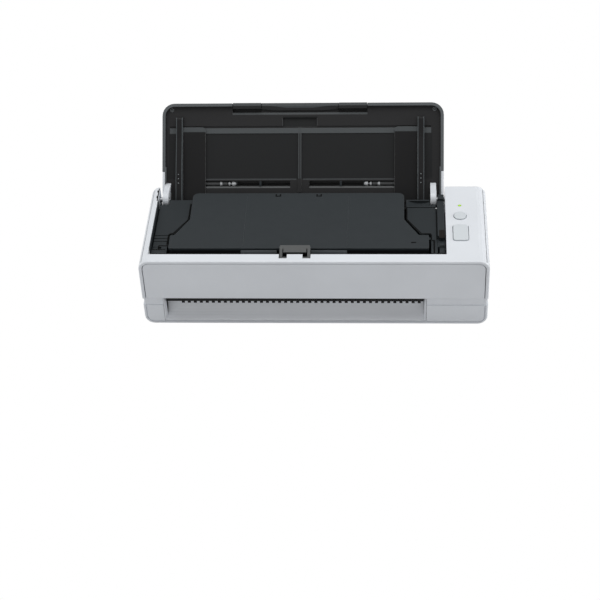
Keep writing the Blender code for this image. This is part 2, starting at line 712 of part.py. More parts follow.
WHITE = plastic("white_plastic", (0.74, 0.77, 0.80), 0.45)
DARK = plastic("dark_plastic", (0.045, 0.050, 0.055), 0.5)
BLACK = plastic("black_plastic", (0.020, 0.021, 0.023), 0.5)
BRACKET_GREY = plastic("bracket_grey_plastic", (0.15, 0.152, 0.155), 0.45)
ROLLER_GREY = plastic("roller_grey_plastic", (0.45, 0.46, 0.47), 0.4)
BUTTON = plastic("button_plastic", (0.61, 0.65, 0.67), 0.4)
RUBBER = plastic("roller_rubber", (0.09, 0.09, 0.10), 0.85)
STEEL = plastic("steel", (0.55, 0.56, 0.58), 0.3, 1.0)
GEAR_WHITE = plastic("gear_plastic", (0.80, 0.79, 0.74), 0.5)
BOARD = plastic("circuit_board", (0.02, 0.13, 0.06), 0.6)
GLASS = plastic("sensor_glass", (0.10, 0.12, 0.13), 0.05)
LENS = plastic("status_lens_plastic", (0.38, 0.60, 0.02), 0.3)


# Shapes shared by several pieces

def body_form(inset, side_inset, low, high):
    """The body's outer form, drawn in by an inset for its faces and sides and cut between two heights."""
    half = HALF_WIDTH - side_inset
    radius = CORNER_RADIUS - side_inset
    bottom = FOOT_HEIGHT
    corners = [(-half, bottom), (half, bottom), (half, DECK_HEIGHT), (-half, DECK_HEIGHT)]
    outline = rounded(corners, radius, 5)
    form = prism("y", outline, FRONT_Y + inset, REAR_Y - inset)
    ends = [face for face in form.faces if len(face.verts) == len(outline)]
    edges = {edge for face in ends for edge in face.edges}
    bmesh.ops.bevel(form, geom=list(edges), offset=EDGE_RADIUS, segments=2, profile=0.5, affect="EDGES")
    span = BODY_WIDTH
    return common(form, slab((-span, span), (-span, span), (low, high)))


def adf_outline(gap, rear_gap=None):
    """The inner cover's outline from above, grown by a gap towards the wings' sides and their fronts."""
    if rear_gap is None:
        rear_gap = gap
    left = [(-ADF_FRONT_LEFT, ADF_FRONT_Y), (-ADF_FRONT_LEFT, ADF_SLANT_LOW_Y),
            (-ADF_SHOULDER_LEFT, ADF_SLANT_LOW_Y), (-ADF_REAR_LEFT, ADF_SLANT_TOP_Y),
            (-ADF_REAR_LEFT, ADF_REAR_Y)]
    right = [(ADF_REAR_RIGHT, ADF_REAR_Y), (ADF_REAR_RIGHT, ADF_SLANT_TOP_Y),
             (ADF_SHOULDER_RIGHT, ADF_SLANT_LOW_Y), (ADF_FRONT_RIGHT, ADF_SLANT_LOW_Y),
             (ADF_FRONT_RIGHT, ADF_FRONT_Y)]
    spread = [(PATH_CENTRE + x - gap, y + (rear_gap if y > ADF_FRONT_Y else 0)) for x, y in left]
    spread += [(PATH_CENTRE + x + gap, y + (rear_gap if y > ADF_FRONT_Y else 0)) for x, y in right]
    corner = ADF_CORNER
    small = ADF_CORNER / 4
    radii = [small, small, small, corner, corner, corner, corner, small, small, small]
    return rounded(spread[::-1], radii[::-1], 4)


def guide_profile():
    """The inside of the U-shaped path, from the side: front face, bottom and rear face."""
    bottom = PATH_ROOF + RUN
    top = DECK_HEIGHT + ADF_SKIN
    corners = [(GUIDE_FRONT_Y, bottom), (GUIDE_REAR_Y, bottom), (GUIDE_REAR_Y, top), (GUIDE_FRONT_Y, top)]
    return rounded(corners, [GUIDE_ROUND, GUIDE_ROUND, 0, 0], 6)


def below_cover(drop):
    """The side outline of everything lower than the inner cover's skin."""
    low = FOOT_HEIGHT
    front = ADF_FRONT_Y - OVERRUN
    rear = ADF_REAR_Y + OVERRUN
    slope = (ADF_REAR_Z - ADF_FRONT_Z) / (ADF_REAR_Y - ADF_FRONT_Y)
    front_z = ADF_FRONT_Z - slope * OVERRUN - drop
    rear_z = ADF_REAR_Z + slope * OVERRUN - drop
    return [(front, low), (rear, low), (rear, rear_z), (front, front_z)]


def roller_pair(spread, width):
    """The two stretches along X that a pair of rollers takes."""
    return [(PATH_CENTRE + side * spread - width / 2, PATH_CENTRE + side * spread + width / 2)
            for side in (-1, 1)]


# Casing

def make_top_housing():
    form = body_form(0.0, 0.0, UPPER_SPLIT, DECK_HEIGHT + OVERRUN)
    inner_left = -HALF_WIDTH + SKIN
    inner_right = HALF_WIDTH - SKIN
    inner_front = FRONT_Y + SKIN
    inner_rear = REAR_Y - SKIN
    low = UPPER_SPLIT - OVERRUN
    wall_front = WELL_FRONT - WELL_WALL
    boss_half = EXIT_GUIDE_WIDTH / 2 + RIM_BOSS_MARGIN
    beyond = REAR_Y + OVERRUN
    above = DECK_HEIGHT + OVERRUN
    chambers = [
        slab((inner_left, inner_right), (inner_front, inner_rear), (low, WELL_WALL_LOW)),
        slab((inner_left, WELL_LEFT - WELL_WALL), (inner_front, inner_rear), (low, DECK_UNDER)),
        slab((WELL_RIGHT + WELL_WALL, inner_right), (inner_front, inner_rear), (low, DECK_UNDER)),
        slab((inner_left, inner_right), (inner_front, wall_front), (low, DECK_UNDER)),
        slab((WELL_LEFT, WELL_RIGHT), (wall_front - OVERRUN, beyond), (low, DECK_HEIGHT - FRONT_WALL_DEPTH)),
        slab((WELL_LEFT, WELL_RIGHT), (WELL_FRONT, beyond), (low, above)),
        slab((WELL_LEFT, HALF_WIDTH - LEFT_RIM), (0, beyond), (low, REAR_WALL_TOP + FIT)),
    ]
    form = cut(form, *chambers)
    boss_front = FRONT_Y + PANEL_INSET + PANEL_THICKNESS + FIT
    boss = slab((PATH_CENTRE - boss_half, PATH_CENTRE + boss_half), (boss_front, WELL_FRONT - FIT),
                (DECK_UNDER - RIM_BOSS_DROP, DECK_UNDER + FIT))
    form = union(form, boss)
    edge = HALF_WIDTH - PANEL_RIM
    window = rounded([(-edge, low), (edge, low), (edge, DECK_HEIGHT - PANEL_TOP_RIM),
                      (-edge, DECK_HEIGHT - PANEL_TOP_RIM)], [0, 0, PANEL_RADIUS, PANEL_RADIUS])
    tools = [prism("y", window, FRONT_Y - OVERRUN, inner_front)]
    pin_y, pin_z = EXIT_GUIDE_PIVOT_Y, EXIT_GUIDE_PIVOT_Z
    room = EXIT_GUIDE_BARREL + ROLLER_ROOM / 2
    half = EXIT_GUIDE_WIDTH / 2
    for side in (-1, 1):
        outer = PATH_CENTRE + side * (half + RUN)
        inner = PATH_CENTRE + side * (half - EXIT_GUIDE_FOOT - RUN)
        across = (min(outer, inner), max(outer, inner))
        tools.append(slab(across, (pin_y - room, WELL_FRONT + OVERRUN),
                          (DECK_UNDER - RIM_BOSS_DROP - FIT, above)))
    hole_half = half + RIM_BOSS_MARGIN * 2 / 3
    tools.append(rod("x", (pin_y, pin_z), EXIT_GUIDE_PIN + FIT, PATH_CENTRE - hole_half,
                     PATH_CENTRE + hole_half, 16))
    button_room = POWER_BUTTON_RADIUS + BUTTON_GAP
    tools.append(rod("z", (PANEL_BUTTON_X, POWER_BUTTON_Y), button_room, DECK_UNDER - OVERRUN, above, 32))
    tools.append(prism("z", scan_outline(BUTTON_GAP), DECK_UNDER - OVERRUN, above))
    tools.append(prism("z", lens_outline(FIT), DECK_UNDER - OVERRUN, above))
    for low_x, high_x in chute_pin_spans(FIT):
        tools.append(rod("x", (CHUTE_PIVOT_Y, CHUTE_PIVOT_Z), PIN_RADIUS + FIT, low_x, high_x))
    node("top_housing", cut(form, *tools), WHITE)


def scan_outline(gap):
    half_width = SCAN_BUTTON_WIDTH / 2 + gap
    half_length = SCAN_BUTTON_LENGTH / 2 + gap
    left, right = PANEL_BUTTON_X - half_width, PANEL_BUTTON_X + half_width
    front, rear = SCAN_BUTTON_Y - half_length, SCAN_BUTTON_Y + half_length
    return rounded([(left, front), (right, front), (right, rear), (left, rear)], SCAN_BUTTON_RADIUS + gap, 4)


def lens_outline(gap):
    long_radius = (LENS_RADIUS + gap) * LENS_LENGTH_SHARE
    short_radius = LENS_RADIUS + gap
    return [(PANEL_BUTTON_X + long_radius * x, LENS_Y + short_radius * y) for x, y in circle((0, 0), 1, 20)]


def chute_pin_spans(grow):
    """Where the two chute pins lie along X, from the arm into the well's wall."""
    left = (WELL_LEFT - WELL_WALL + FIT - grow, ARM_LEFT + ARM_THICKNESS + grow)
    right = (ARM_RIGHT - ARM_THICKNESS - grow, WELL_RIGHT + WELL_WALL - FIT + grow)
    return [left, right]


def make_front_panel():
    edge = HALF_WIDTH - PANEL_RIM - PANEL_GAP
    top = DECK_HEIGHT - PANEL_TOP_RIM - PANEL_GAP
    bottom = UPPER_SPLIT + FIT
    outline = rounded([(-edge, bottom), (edge, bottom), (edge, top), (-edge, top)],
                      [0, 0, PANEL_RADIUS - PANEL_GAP, PANEL_RADIUS - PANEL_GAP])
    front = FRONT_Y + PANEL_INSET
    node("front_panel", prism("y", outline, front, front + PANEL_THICKNESS), WHITE)


def make_lower_housing():
    base = body_form(BASE_INSET, BASE_SIDE_INSET, FOOT_HEIGHT, BAND_BOTTOM)
    band = body_form(BAND_INSET, BAND_SIDE_INSET, BAND_BOTTOM - FIT, UPPER_SPLIT - FIT)
    form = union(base, band)
    wall = SKIN + BAND_INSET
    inner = HALF_WIDTH - wall
    front = FRONT_Y + wall
    below = FOOT_HEIGHT - OVERRUN
    above = UPPER_SPLIT + OVERRUN
    rear_edge = HALF_WIDTH - LEFT_RIM + FIT
    form = cut(
        form,
        slab((-inner, inner), (front, REAR_Y - SKIN - BAND_INSET), (below, above)),
        slab((FRONT_SLOT_LEFT, FRONT_SLOT_RIGHT), (FRONT_Y - OVERRUN, front + OVERRUN),
             (RAMP_BOTTOM, above)),
        base_groove(),
        slab((-rear_edge, rear_edge), (0, REAR_Y + OVERRUN), (PLATE_TOP + FIT, above)),
    )
    node("lower_housing", form, WHITE)


def base_groove():
    """A shallow groove round the front face of the base, inside its outline."""
    face = FRONT_Y + BASE_INSET
    rings = []
    for inset in (BASE_GROOVE_INSET, BASE_GROOVE_INSET + BASE_GROOVE_WIDTH):
        half = HALF_WIDTH - BASE_SIDE_INSET - inset
        low = FOOT_HEIGHT + inset
        radius = CORNER_RADIUS - BASE_SIDE_INSET - inset
        above = BAND_BOTTOM + OVERRUN
        outline = rounded([(-half, low), (half, low), (half, above), (-half, above)], [radius, radius, 0, 0])
        rings.append(outline)
    outer = prism("y", rings[0], face - OVERRUN, face + BASE_GROOVE_DEPTH)
    inner = prism("y", rings[1], face - 2 * OVERRUN, face + 2 * BASE_GROOVE_DEPTH)
    span = HALF_WIDTH + OVERRUN
    below_band = slab((-span, span), (face - OVERRUN, face + OVERRUN), (0.0, BAND_BOTTOM))
    return common(cut(outer, inner), below_band)


def make_bottom_plate():
    wall = SKIN + BAND_INSET + FIT
    edge = HALF_WIDTH - wall
    rear = REAR_Y - SKIN - BAND_INSET - FIT
    form = slab((-edge, edge), (FRONT_Y + wall, rear), (FOOT_HEIGHT, PLATE_TOP))
    node("bottom_plate", form, BLACK)


def make_rear_cover():
    edge = HALF_WIDTH - LEFT_RIM - FIT
    low = PLATE_TOP + 2 * FIT
    outline = [(-edge, low), (edge, low), (edge, REAR_WALL_TOP), (-edge, REAR_WALL_TOP)]
    front = REAR_Y - SKIN
    form = prism("y", outline, front, REAR_Y)
    slot = slab((PATH_LEFT + SLOT_MARGIN, PATH_RIGHT - SLOT_MARGIN), (front - OVERRUN, REAR_Y + OVERRUN),
                (PATH_FLOOR, PATH_ROOF))
    jacks = []
    for middle, width, height in ((JACK_X, JACK_WIDTH, JACK_HEIGHT), (USB_X, USB_WIDTH, USB_HEIGHT)):
        low, high = socket_base(), socket_base() + height
        half = width / 2 + SOCKET_FIT
        jacks.append(slab((middle - half, middle + half), (front - OVERRUN, REAR_Y + OVERRUN),
                          (low - SOCKET_FIT, high + SOCKET_FIT)))
    node("rear_cover", cut(form, slot, *jacks), WHITE)


def socket_base():
    return PLATE_TOP + FIT + BOARD_THICKNESS + FIT


def make_slot_comb():
    """A dark bar above the front slot with a row of teeth that hang from it."""
    side_room = FIT + CHEEK_REAR + FIT
    left, right = FRONT_SLOT_LEFT + side_room, FRONT_SLOT_RIGHT - side_room
    top = UPPER_SPLIT + COMB_BAR
    low = UPPER_SPLIT - COMB_SKIRT
    tip = UPPER_SPLIT - COMB_DROP
    room = right - left - COMB_PLAIN_LEFT
    count = int(room / COMB_PITCH)
    start = right - (room - (count - 1) * COMB_PITCH) / 2 - (count - 1) * COMB_PITCH
    outline = [(right, top), (left, top), (left, low)]
    for tooth in range(count):
        middle = start + tooth * COMB_PITCH
        half = COMB_TOOTH / 2
        outline += [(middle - half, low), (middle - half, tip), (middle + half, tip), (middle + half, low)]
    outline.append((right, low))
    front = FRONT_Y + PANEL_INSET + PANEL_THICKNESS + COMB_SETBACK
    node("slot_comb", prism("y", outline, front, front + COMB_THICKNESS), BLACK)


def make_return_ramp():
    """The scooped ramp that leads up to the front slot, with a slanted cheek at each end."""
    left, right = FRONT_SLOT_LEFT + FIT, FRONT_SLOT_RIGHT - FIT
    front = FRONT_Y + BASE_INSET
    low = RAMP_BOTTOM + FIT
    start = Vector((front, low))
    end = Vector((RAMP_BACK_Y, PATH_FLOOR))
    square = Vector((end.y - start.y, start.x - end.x)).normalized()
    steps = 8
    curve = []
    for step in range(steps + 1):
        share = step / steps
        curve.append(tuple(start.lerp(end, share) + square * RAMP_SAG * 4 * share * (1 - share)))
    body = prism("x", curve + [(RAMP_BACK_Y, low)], left, right)
    above = UPPER_SPLIT + OVERRUN
    beyond = RAMP_BACK_Y + OVERRUN
    ahead = front - OVERRUN
    plan = [(left, ahead), (right, ahead), (right, CHEEK_REAR_Y), (right - CHEEK_REAR, CHEEK_REAR_Y),
            (right - CHEEK_REAR, beyond), (left + CHEEK_REAR, beyond), (left + CHEEK_REAR, CHEEK_REAR_Y),
            (left, CHEEK_REAR_Y)]
    form = common(body, prism("z", plan, 0.0, above))
    cheeks = []
    for edge, inward in ((left, 1), (right, -1)):
        outline = [(edge, front), (edge + inward * CHEEK_FRONT, front),
                   (edge + inward * CHEEK_REAR, CHEEK_REAR_Y), (edge, CHEEK_REAR_Y)]
        cheeks.append(prism("z", outline[::inward], low, UPPER_SPLIT - FIT))
    node("return_ramp", union(form, *cheeks), WHITE)


def make_feet():
    for across, side in ((-1, "left"), (1, "right")):
        for along, end in ((-1, "front"), (1, "rear")):
            centre = (across * (HALF_WIDTH - FOOT_INSET_X), along * (HALF_DEPTH - FOOT_INSET_Y))
            form = rod("z", centre, FOOT_RADIUS, 0.0, FOOT_HEIGHT - FIT)
            node(f"foot_{end}_{side}", form, RUBBER)


# Paper path

def make_side_frames():
    outline = [
        (FRAME_FRONT, PLATE_TOP + FIT), (FRAME_REAR, PLATE_TOP + FIT), (FRAME_REAR, REAR_POST_TOP - OVERRUN),
        (FRAME_REAR - OVERRUN, REAR_POST_TOP), (FRAME_REAR - REAR_POST_DEPTH, REAR_POST_TOP),
        (FRAME_REAR - REAR_POST_DEPTH, FRAME_WAIST), (FRAME_FRONT + FRONT_POST_DEPTH, FRAME_WAIST),
        (FRAME_FRONT + FRONT_POST_DEPTH, FRONT_POST_TOP), (FRAME_FRONT, FRONT_POST_TOP),
    ]
    holes = [
        ((FEED_AXIS_Y, FEED_AXIS_Z), FEED_SHAFT_RADIUS), ((EXIT_AXIS_Y, EXIT_AXIS_Z), EXIT_SHAFT_RADIUS),
        ((PICK_AXIS_Y, PICK_AXIS_Z), PICK_SHAFT_RADIUS), (flap_axis(), FLAP_PIN_RADIUS),
    ]
    for name, low in (("frame_left", PATH_LEFT - FRAME_THICKNESS), ("frame_right", PATH_RIGHT)):
        high = low + FRAME_THICKNESS
        form = prism("x", outline, low, high)
        tools = [rod("x", centre, radius + FIT, low - OVERRUN, high + OVERRUN) for centre, radius in holes]
        form = cut(form, *tools)
        if name == "frame_right":
            stub = rod("x", (IDLER_AXIS_Y, IDLER_AXIS_Z), PICK_SHAFT_RADIUS, low + FIT, GEAR_X + GEAR_WIDTH)
            form = union(form, stub)
        node(name, form, BLACK)


def flap_axis():
    return (FLAP_HINGE_Y, PATH_FLOOR - FIT - FLAP_THICKNESS / 2)


def make_path_floor():
    left, right = PATH_LEFT + FIT, PATH_RIGHT - FIT
    front = FLAP_HINGE_Y + FLAP_THICKNESS / 2 + ROLLER_ROOM
    rear = REAR_Y - SKIN - FIT
    form = slab((left, right), (front, rear), (FLOOR_UNDER, PATH_FLOOR))
    below, above = FLOOR_UNDER - OVERRUN, PATH_FLOOR + OVERRUN
    tools = []
    reach = FEED_RADIUS + ROLLER_ROOM
    for low, high in roller_pair(FEED_SPREAD, FEED_TYRE_WIDTH):
        tools.append(slab((low - ROLLER_ROOM, high + ROLLER_ROOM),
                          (FEED_AXIS_Y - reach, FEED_AXIS_Y + reach), (below, above)))
    depth = SENSOR_DEPTH / 2 - ROLLER_ROOM + FIT
    tools.append(slab(sensor_span(FIT), (SENSOR_CENTRE_Y - depth, SENSOR_CENTRE_Y + depth), (below, above)))
    node("path_floor", cut(form, *tools), BLACK)


def make_front_guide():
    """The outer wall of the path's way up, with two raised roller housings."""
    left, right = PATH_LEFT + FIT, PATH_RIGHT - FIT
    face = FRONT_GUIDE_FACE_Y
    back = face - FRONT_GUIDE_DEPTH
    low = PATH_ROOF + RUN
    outline = rounded(
        [(face, low + GUIDE_NOSE), (face, FRONT_GUIDE_TOP), (back, FRONT_GUIDE_TOP), (back, low),
         (face - GUIDE_NOSE, low)], [GUIDE_NOSE / 2, 0, 0, 0, GUIDE_NOSE / 2], 3)
    form = prism("x", outline, left, right)
    shaft_room = EXIT_SHAFT_RADIUS + ROLLER_ROOM
    tools = [rod("x", (EXIT_AXIS_Y, EXIT_AXIS_Z), shaft_room, left - OVERRUN, right + OVERRUN, 12)]
    reach = EXIT_RADIUS + ROLLER_ROOM
    for start, end in roller_pair(EXIT_SPREAD, EXIT_ROLLER_WIDTH):
        tools.append(slab((start - ROLLER_ROOM, end + ROLLER_ROOM), (EXIT_AXIS_Y - reach, face + OVERRUN),
                          (EXIT_AXIS_Z - reach, FRONT_GUIDE_TOP + OVERRUN)))
    node("front_path_guide", cut(form, *tools), BLACK)


def make_rear_guide():
    left, right = PATH_LEFT + FIT, PATH_RIGHT - FIT
    back = REAR_GUIDE_Y
    low = PATH_ROOF + RUN
    top = REAR_GUIDE_TOP
    nip_y = PICK_AXIS_Y - PICK_RADIUS + ROLLER_ROOM
    lean = (top - PICK_AXIS_Z) / 2
    outline = [
        (back, low), (back, REAR_WALL_TOP), (back - SKIN, top), (back - SKIN - OVERRUN / 2, top),
        (back - SKIN - OVERRUN, top - lean), (nip_y, PICK_AXIS_Z + OVERRUN), (nip_y, low + GUIDE_NOSE),
        (nip_y + GUIDE_NOSE, low),
    ]
    form = prism("x", outline[::-1], left, right)
    reach = PICK_RADIUS + ROLLER_ROOM
    half = PICK_WIDTH / 2 + ROLLER_ROOM
    shaft_room = PICK_SHAFT_RADIUS + ROLLER_ROOM
    tools = [
        rod("x", (PICK_AXIS_Y, PICK_AXIS_Z), shaft_room, left - OVERRUN, right + OVERRUN, 12),
        rod("x", (PICK_AXIS_Y, PICK_AXIS_Z), reach, PATH_CENTRE - half, PATH_CENTRE + half, 20),
    ]
    node("rear_path_guide", cut(form, *tools), BLACK)


def sensor_span(grow=0.0):
    half = SENSOR_LENGTH / 2 + grow
    return (PATH_CENTRE - half, PATH_CENTRE + half)


def upper_sensor_top():
    """The upper sensor reaches a share of the way up from its glass to the exit idlers."""
    body_low = PATH_ROOF + GLASS_THICKNESS
    return body_low + SENSOR_HEIGHT_SHARE * (EXIT_AXIS_Z - IDLER_RADIUS - body_low)


def make_sensors(cover_pivot):
    across = sensor_span()
    along = (SENSOR_CENTRE_Y - SENSOR_DEPTH / 2, SENSOR_CENTRE_Y + SENSOR_DEPTH / 2)
    glass_along = (along[0] + ROLLER_ROOM, along[1] - ROLLER_ROOM)
    low = PLATE_TOP + FIT
    body = soft_slab(across, along, (low, FLOOR_UNDER - FIT), SENSOR_EDGE, 1)
    node("lower_sensor", body, BLACK)
    glass = slab(across, glass_along, (FLOOR_UNDER, PATH_FLOOR - GLASS_SETBACK))
    node("lower_glass", glass, GLASS)
    glass_low = PATH_ROOF - FIT
    body_low = glass_low + GLASS_THICKNESS + FIT
    body = soft_slab(across, along, (body_low, upper_sensor_top()), SENSOR_EDGE, 1)
    node("upper_sensor", body, BLACK, cover_pivot)
    glass = slab(across, glass_along, (glass_low, glass_low + GLASS_THICKNESS))
    node("upper_glass", glass, GLASS, cover_pivot)


# Inner cover

def make_inner_cover(cover_pivot):
    slope = (ADF_REAR_Z - ADF_FRONT_Z) / (ADF_REAR_Y - ADF_FRONT_Y)
    beyond = ADF_REAR_Y + OVERRUN
    before = ADF_FRONT_Y - OVERRUN
    top_front, top_rear = ADF_FRONT_Z - slope * OVERRUN, ADF_REAR_Z + slope * OVERRUN
    inner = ADF_REAR_Y - ADF_SKIN
    skin = [
        (before, top_front - ADF_SKIN), (inner, ADF_REAR_Z - slope * ADF_SKIN - ADF_SKIN),
        (inner, ADF_REAR_Z - ADF_LIP), (beyond, ADF_REAR_Z - ADF_LIP), (beyond, top_rear),
        (before, top_front),
    ]
    form = common(prism("z", adf_outline(0.0), FOOT_HEIGHT, DECK_HEIGHT + OVERRUN),
                  prism("x", skin, -HALF_WIDTH, HALF_WIDTH))
    node("inner_cover", form, DARK, cover_pivot)


def make_inner_guide(cover_pivot):
    """The block under the inner cover, whose faces are the inside of the path."""
    plan = prism("z", adf_outline(-FIT), FOOT_HEIGHT, DECK_HEIGHT + OVERRUN)
    side = prism("x", guide_profile(), -HALF_WIDTH, HALF_WIDTH)
    under = prism("x", below_cover(ADF_SKIN + FIT), -HALF_WIDTH, HALF_WIDTH)
    form = common(plan, side, under)
    pin_left = PATH_CENTRE - ADF_REAR_LEFT - ADF_PIN_LENGTH
    pin_right = PATH_CENTRE + ADF_REAR_RIGHT + ADF_PIN_LENGTH
    pin = rod("x", (ADF_PIVOT_Y, ADF_PIVOT_Z), ADF_PIN_RADIUS, pin_left, pin_right, 20)
    form = union(form, pin)
    low = PATH_ROOF - OVERRUN
    half = SENSOR_DEPTH / 2 + FIT
    bay = slab(sensor_span(FIT), (SENSOR_CENTRE_Y - half, SENSOR_CENTRE_Y + half),
               (low, upper_sensor_top() + FIT))
    tools = [bay]
    reach = IDLER_RADIUS + ROLLER_ROOM
    for start, end in roller_pair(FEED_SPREAD, IDLER_WIDTH):
        tools.append(slab((start - ROLLER_ROOM, end + ROLLER_ROOM),
                          (FEED_AXIS_Y - reach, FEED_AXIS_Y + reach), (low, FEED_IDLER_Z + reach)))
    idler_half = FEED_SPREAD + IDLER_WIDTH / 2 + 2 * ROLLER_ROOM
    shaft_room = IDLER_SHAFT_RADIUS + FIT
    tools.append(slab((PATH_CENTRE - idler_half, PATH_CENTRE + idler_half),
                      (FEED_AXIS_Y - shaft_room, FEED_AXIS_Y + shaft_room),
                      (low, FEED_IDLER_Z + shaft_room)))
    for start, end in roller_pair(EXIT_SPREAD, IDLER_WIDTH):
        tools.append(slab((start - ROLLER_ROOM, end + ROLLER_ROOM),
                          (GUIDE_FRONT_Y - OVERRUN, EXIT_IDLER_Y + reach),
                          (EXIT_AXIS_Z - reach, EXIT_AXIS_Z + reach)))
    idler_half = EXIT_SPREAD + IDLER_WIDTH / 2 + 2 * ROLLER_ROOM
    tools.append(slab((PATH_CENTRE - idler_half, PATH_CENTRE + idler_half),
                      (GUIDE_FRONT_Y - OVERRUN, EXIT_IDLER_Y + shaft_room),
                      (EXIT_AXIS_Z - shaft_room, EXIT_AXIS_Z + shaft_room)))
    reach = BRAKE_RADIUS + ROLLER_ROOM
    half = PICK_WIDTH / 2 + ROLLER_ROOM
    tools.append(slab((PATH_CENTRE - half, PATH_CENTRE + half), (BRAKE_Y - reach, GUIDE_REAR_Y + OVERRUN),
                      (PICK_AXIS_Z - reach, PICK_AXIS_Z + reach)))
    half = PICK_WIDTH / 2 + 2 * ROLLER_ROOM
    tools.append(slab((PATH_CENTRE - half, PATH_CENTRE + half),
                      (BRAKE_Y - shaft_room, GUIDE_REAR_Y + OVERRUN),
                      (PICK_AXIS_Z - shaft_room, PICK_AXIS_Z + shaft_room)))
    node("inner_guide", cut(form, *tools), BLACK, cover_pivot)


# Rollers and drive

def make_rollers(cover_pivot):
    feed = pivot_at("feed_axis", (PATH_CENTRE, FEED_AXIS_Y, FEED_AXIS_Z))
    start = PATH_LEFT - FRAME_THICKNESS - RUN
    pulley_end = PULLEY_X + PULLEY_WIDTH - RUN
    tyres = roller_pair(FEED_SPREAD, FEED_TYRE_WIDTH)
    runs = [(start, tyres[0][0], FEED_SHAFT_RADIUS)]
    runs += [(tyres[0][0], tyres[0][1], FEED_HUB_RADIUS), (tyres[0][1], tyres[1][0], FEED_SHAFT_RADIUS)]
    runs += [(tyres[1][0], tyres[1][1], FEED_HUB_RADIUS), (tyres[1][1], PULLEY_X, FEED_SHAFT_RADIUS)]
    runs += [(PULLEY_X, pulley_end, FEED_PULLEY_RADIUS)]
    runs += [(pulley_end, GEAR_X + GEAR_WIDTH, FEED_SHAFT_RADIUS)]
    axis = (FEED_AXIS_Y, FEED_AXIS_Z)
    node("feed_shaft", turned(axis, stepped(runs)), STEEL, feed)
    for (low, high), side in zip(tyres, ("left", "right")):
        form = ring("x", axis, FEED_RADIUS, FEED_HUB_RADIUS + FIT, low, high)
        node(f"feed_tyre_{side}", form, RUBBER, feed)
    make_gear("feed_gear", axis, FEED_TEETH, feed, FEED_SHAFT_RADIUS)

    idler = pivot_at("feed_idler_axis", (PATH_CENTRE, FEED_AXIS_Y, FEED_IDLER_Z), cover_pivot)
    node("feed_idler", idler_form((FEED_AXIS_Y, FEED_IDLER_Z), FEED_SPREAD), ROLLER_GREY, idler)

    exit_pivot = pivot_at("exit_axis", (PATH_CENTRE, EXIT_AXIS_Y, EXIT_AXIS_Z))
    rollers = roller_pair(EXIT_SPREAD, EXIT_ROLLER_WIDTH)
    runs = [(start, rollers[0][0], EXIT_SHAFT_RADIUS), (rollers[0][0], rollers[0][1], EXIT_RADIUS)]
    runs += [(rollers[0][1], rollers[1][0], EXIT_SHAFT_RADIUS), (rollers[1][0], rollers[1][1], EXIT_RADIUS)]
    runs += [(rollers[1][1], PULLEY_X, EXIT_SHAFT_RADIUS), (PULLEY_X, pulley_end, EXIT_PULLEY_RADIUS)]
    node("exit_roller", turned((EXIT_AXIS_Y, EXIT_AXIS_Z), stepped(runs)), RUBBER, exit_pivot)

    idler = pivot_at("exit_idler_axis", (PATH_CENTRE, EXIT_IDLER_Y, EXIT_AXIS_Z), cover_pivot)
    node("exit_idler", idler_form((EXIT_IDLER_Y, EXIT_AXIS_Z), EXIT_SPREAD), ROLLER_GREY, idler)

    pick = pivot_at("pick_axis", (PATH_CENTRE, PICK_AXIS_Y, PICK_AXIS_Z))
    axis = (PICK_AXIS_Y, PICK_AXIS_Z)
    half = PICK_WIDTH / 2
    low, high = PATH_CENTRE - half, PATH_CENTRE + half
    runs = [(start, low, PICK_SHAFT_RADIUS), (low, high, PICK_HUB_RADIUS)]
    runs += [(high, GEAR_X + GEAR_WIDTH, PICK_SHAFT_RADIUS)]
    node("pick_shaft", turned(axis, stepped(runs)), STEEL, pick)
    node("pick_tyre", ring("x", axis, PICK_RADIUS, PICK_HUB_RADIUS + FIT, low, high), RUBBER, pick)
    make_gear("pick_gear", axis, PICK_TEETH, pick, PICK_SHAFT_RADIUS)

    brake = pivot_at("brake_axis", (PATH_CENTRE, BRAKE_Y, PICK_AXIS_Z), cover_pivot)
    stub = half + 2 * ROLLER_ROOM - FIT
    runs = [(PATH_CENTRE - stub, low, IDLER_SHAFT_RADIUS), (low, high, BRAKE_RADIUS)]
    runs += [(high, PATH_CENTRE + stub, IDLER_SHAFT_RADIUS)]
    node("brake_roller", turned((BRAKE_Y, PICK_AXIS_Z), stepped(runs)), RUBBER, brake)

    turn = pivot_at("idler_gear_axis", (GEAR_X, IDLER_AXIS_Y, IDLER_AXIS_Z))
    make_gear("idler_gear", (IDLER_AXIS_Y, IDLER_AXIS_Z), IDLER_TEETH, turn, PICK_SHAFT_RADIUS)
    turn = pivot_at("motor_axis", (GEAR_X, MOTOR_Y, MOTOR_Z))
    make_gear("motor_pinion", (MOTOR_Y, MOTOR_Z), PINION_TEETH, turn, MOTOR_SHAFT_RADIUS)


def idler_form(axis, spread):
    rollers = roller_pair(spread, IDLER_WIDTH)
    end = 2 * ROLLER_ROOM - FIT
    runs = [(rollers[0][0] - end, rollers[0][0], IDLER_SHAFT_RADIUS), (*rollers[0], IDLER_RADIUS)]
    runs += [(rollers[0][1], rollers[1][0], IDLER_SHAFT_RADIUS), (*rollers[1], IDLER_RADIUS)]
    runs += [(rollers[1][1], rollers[1][1] + end, IDLER_SHAFT_RADIUS)]
    return turned(axis, stepped(runs))


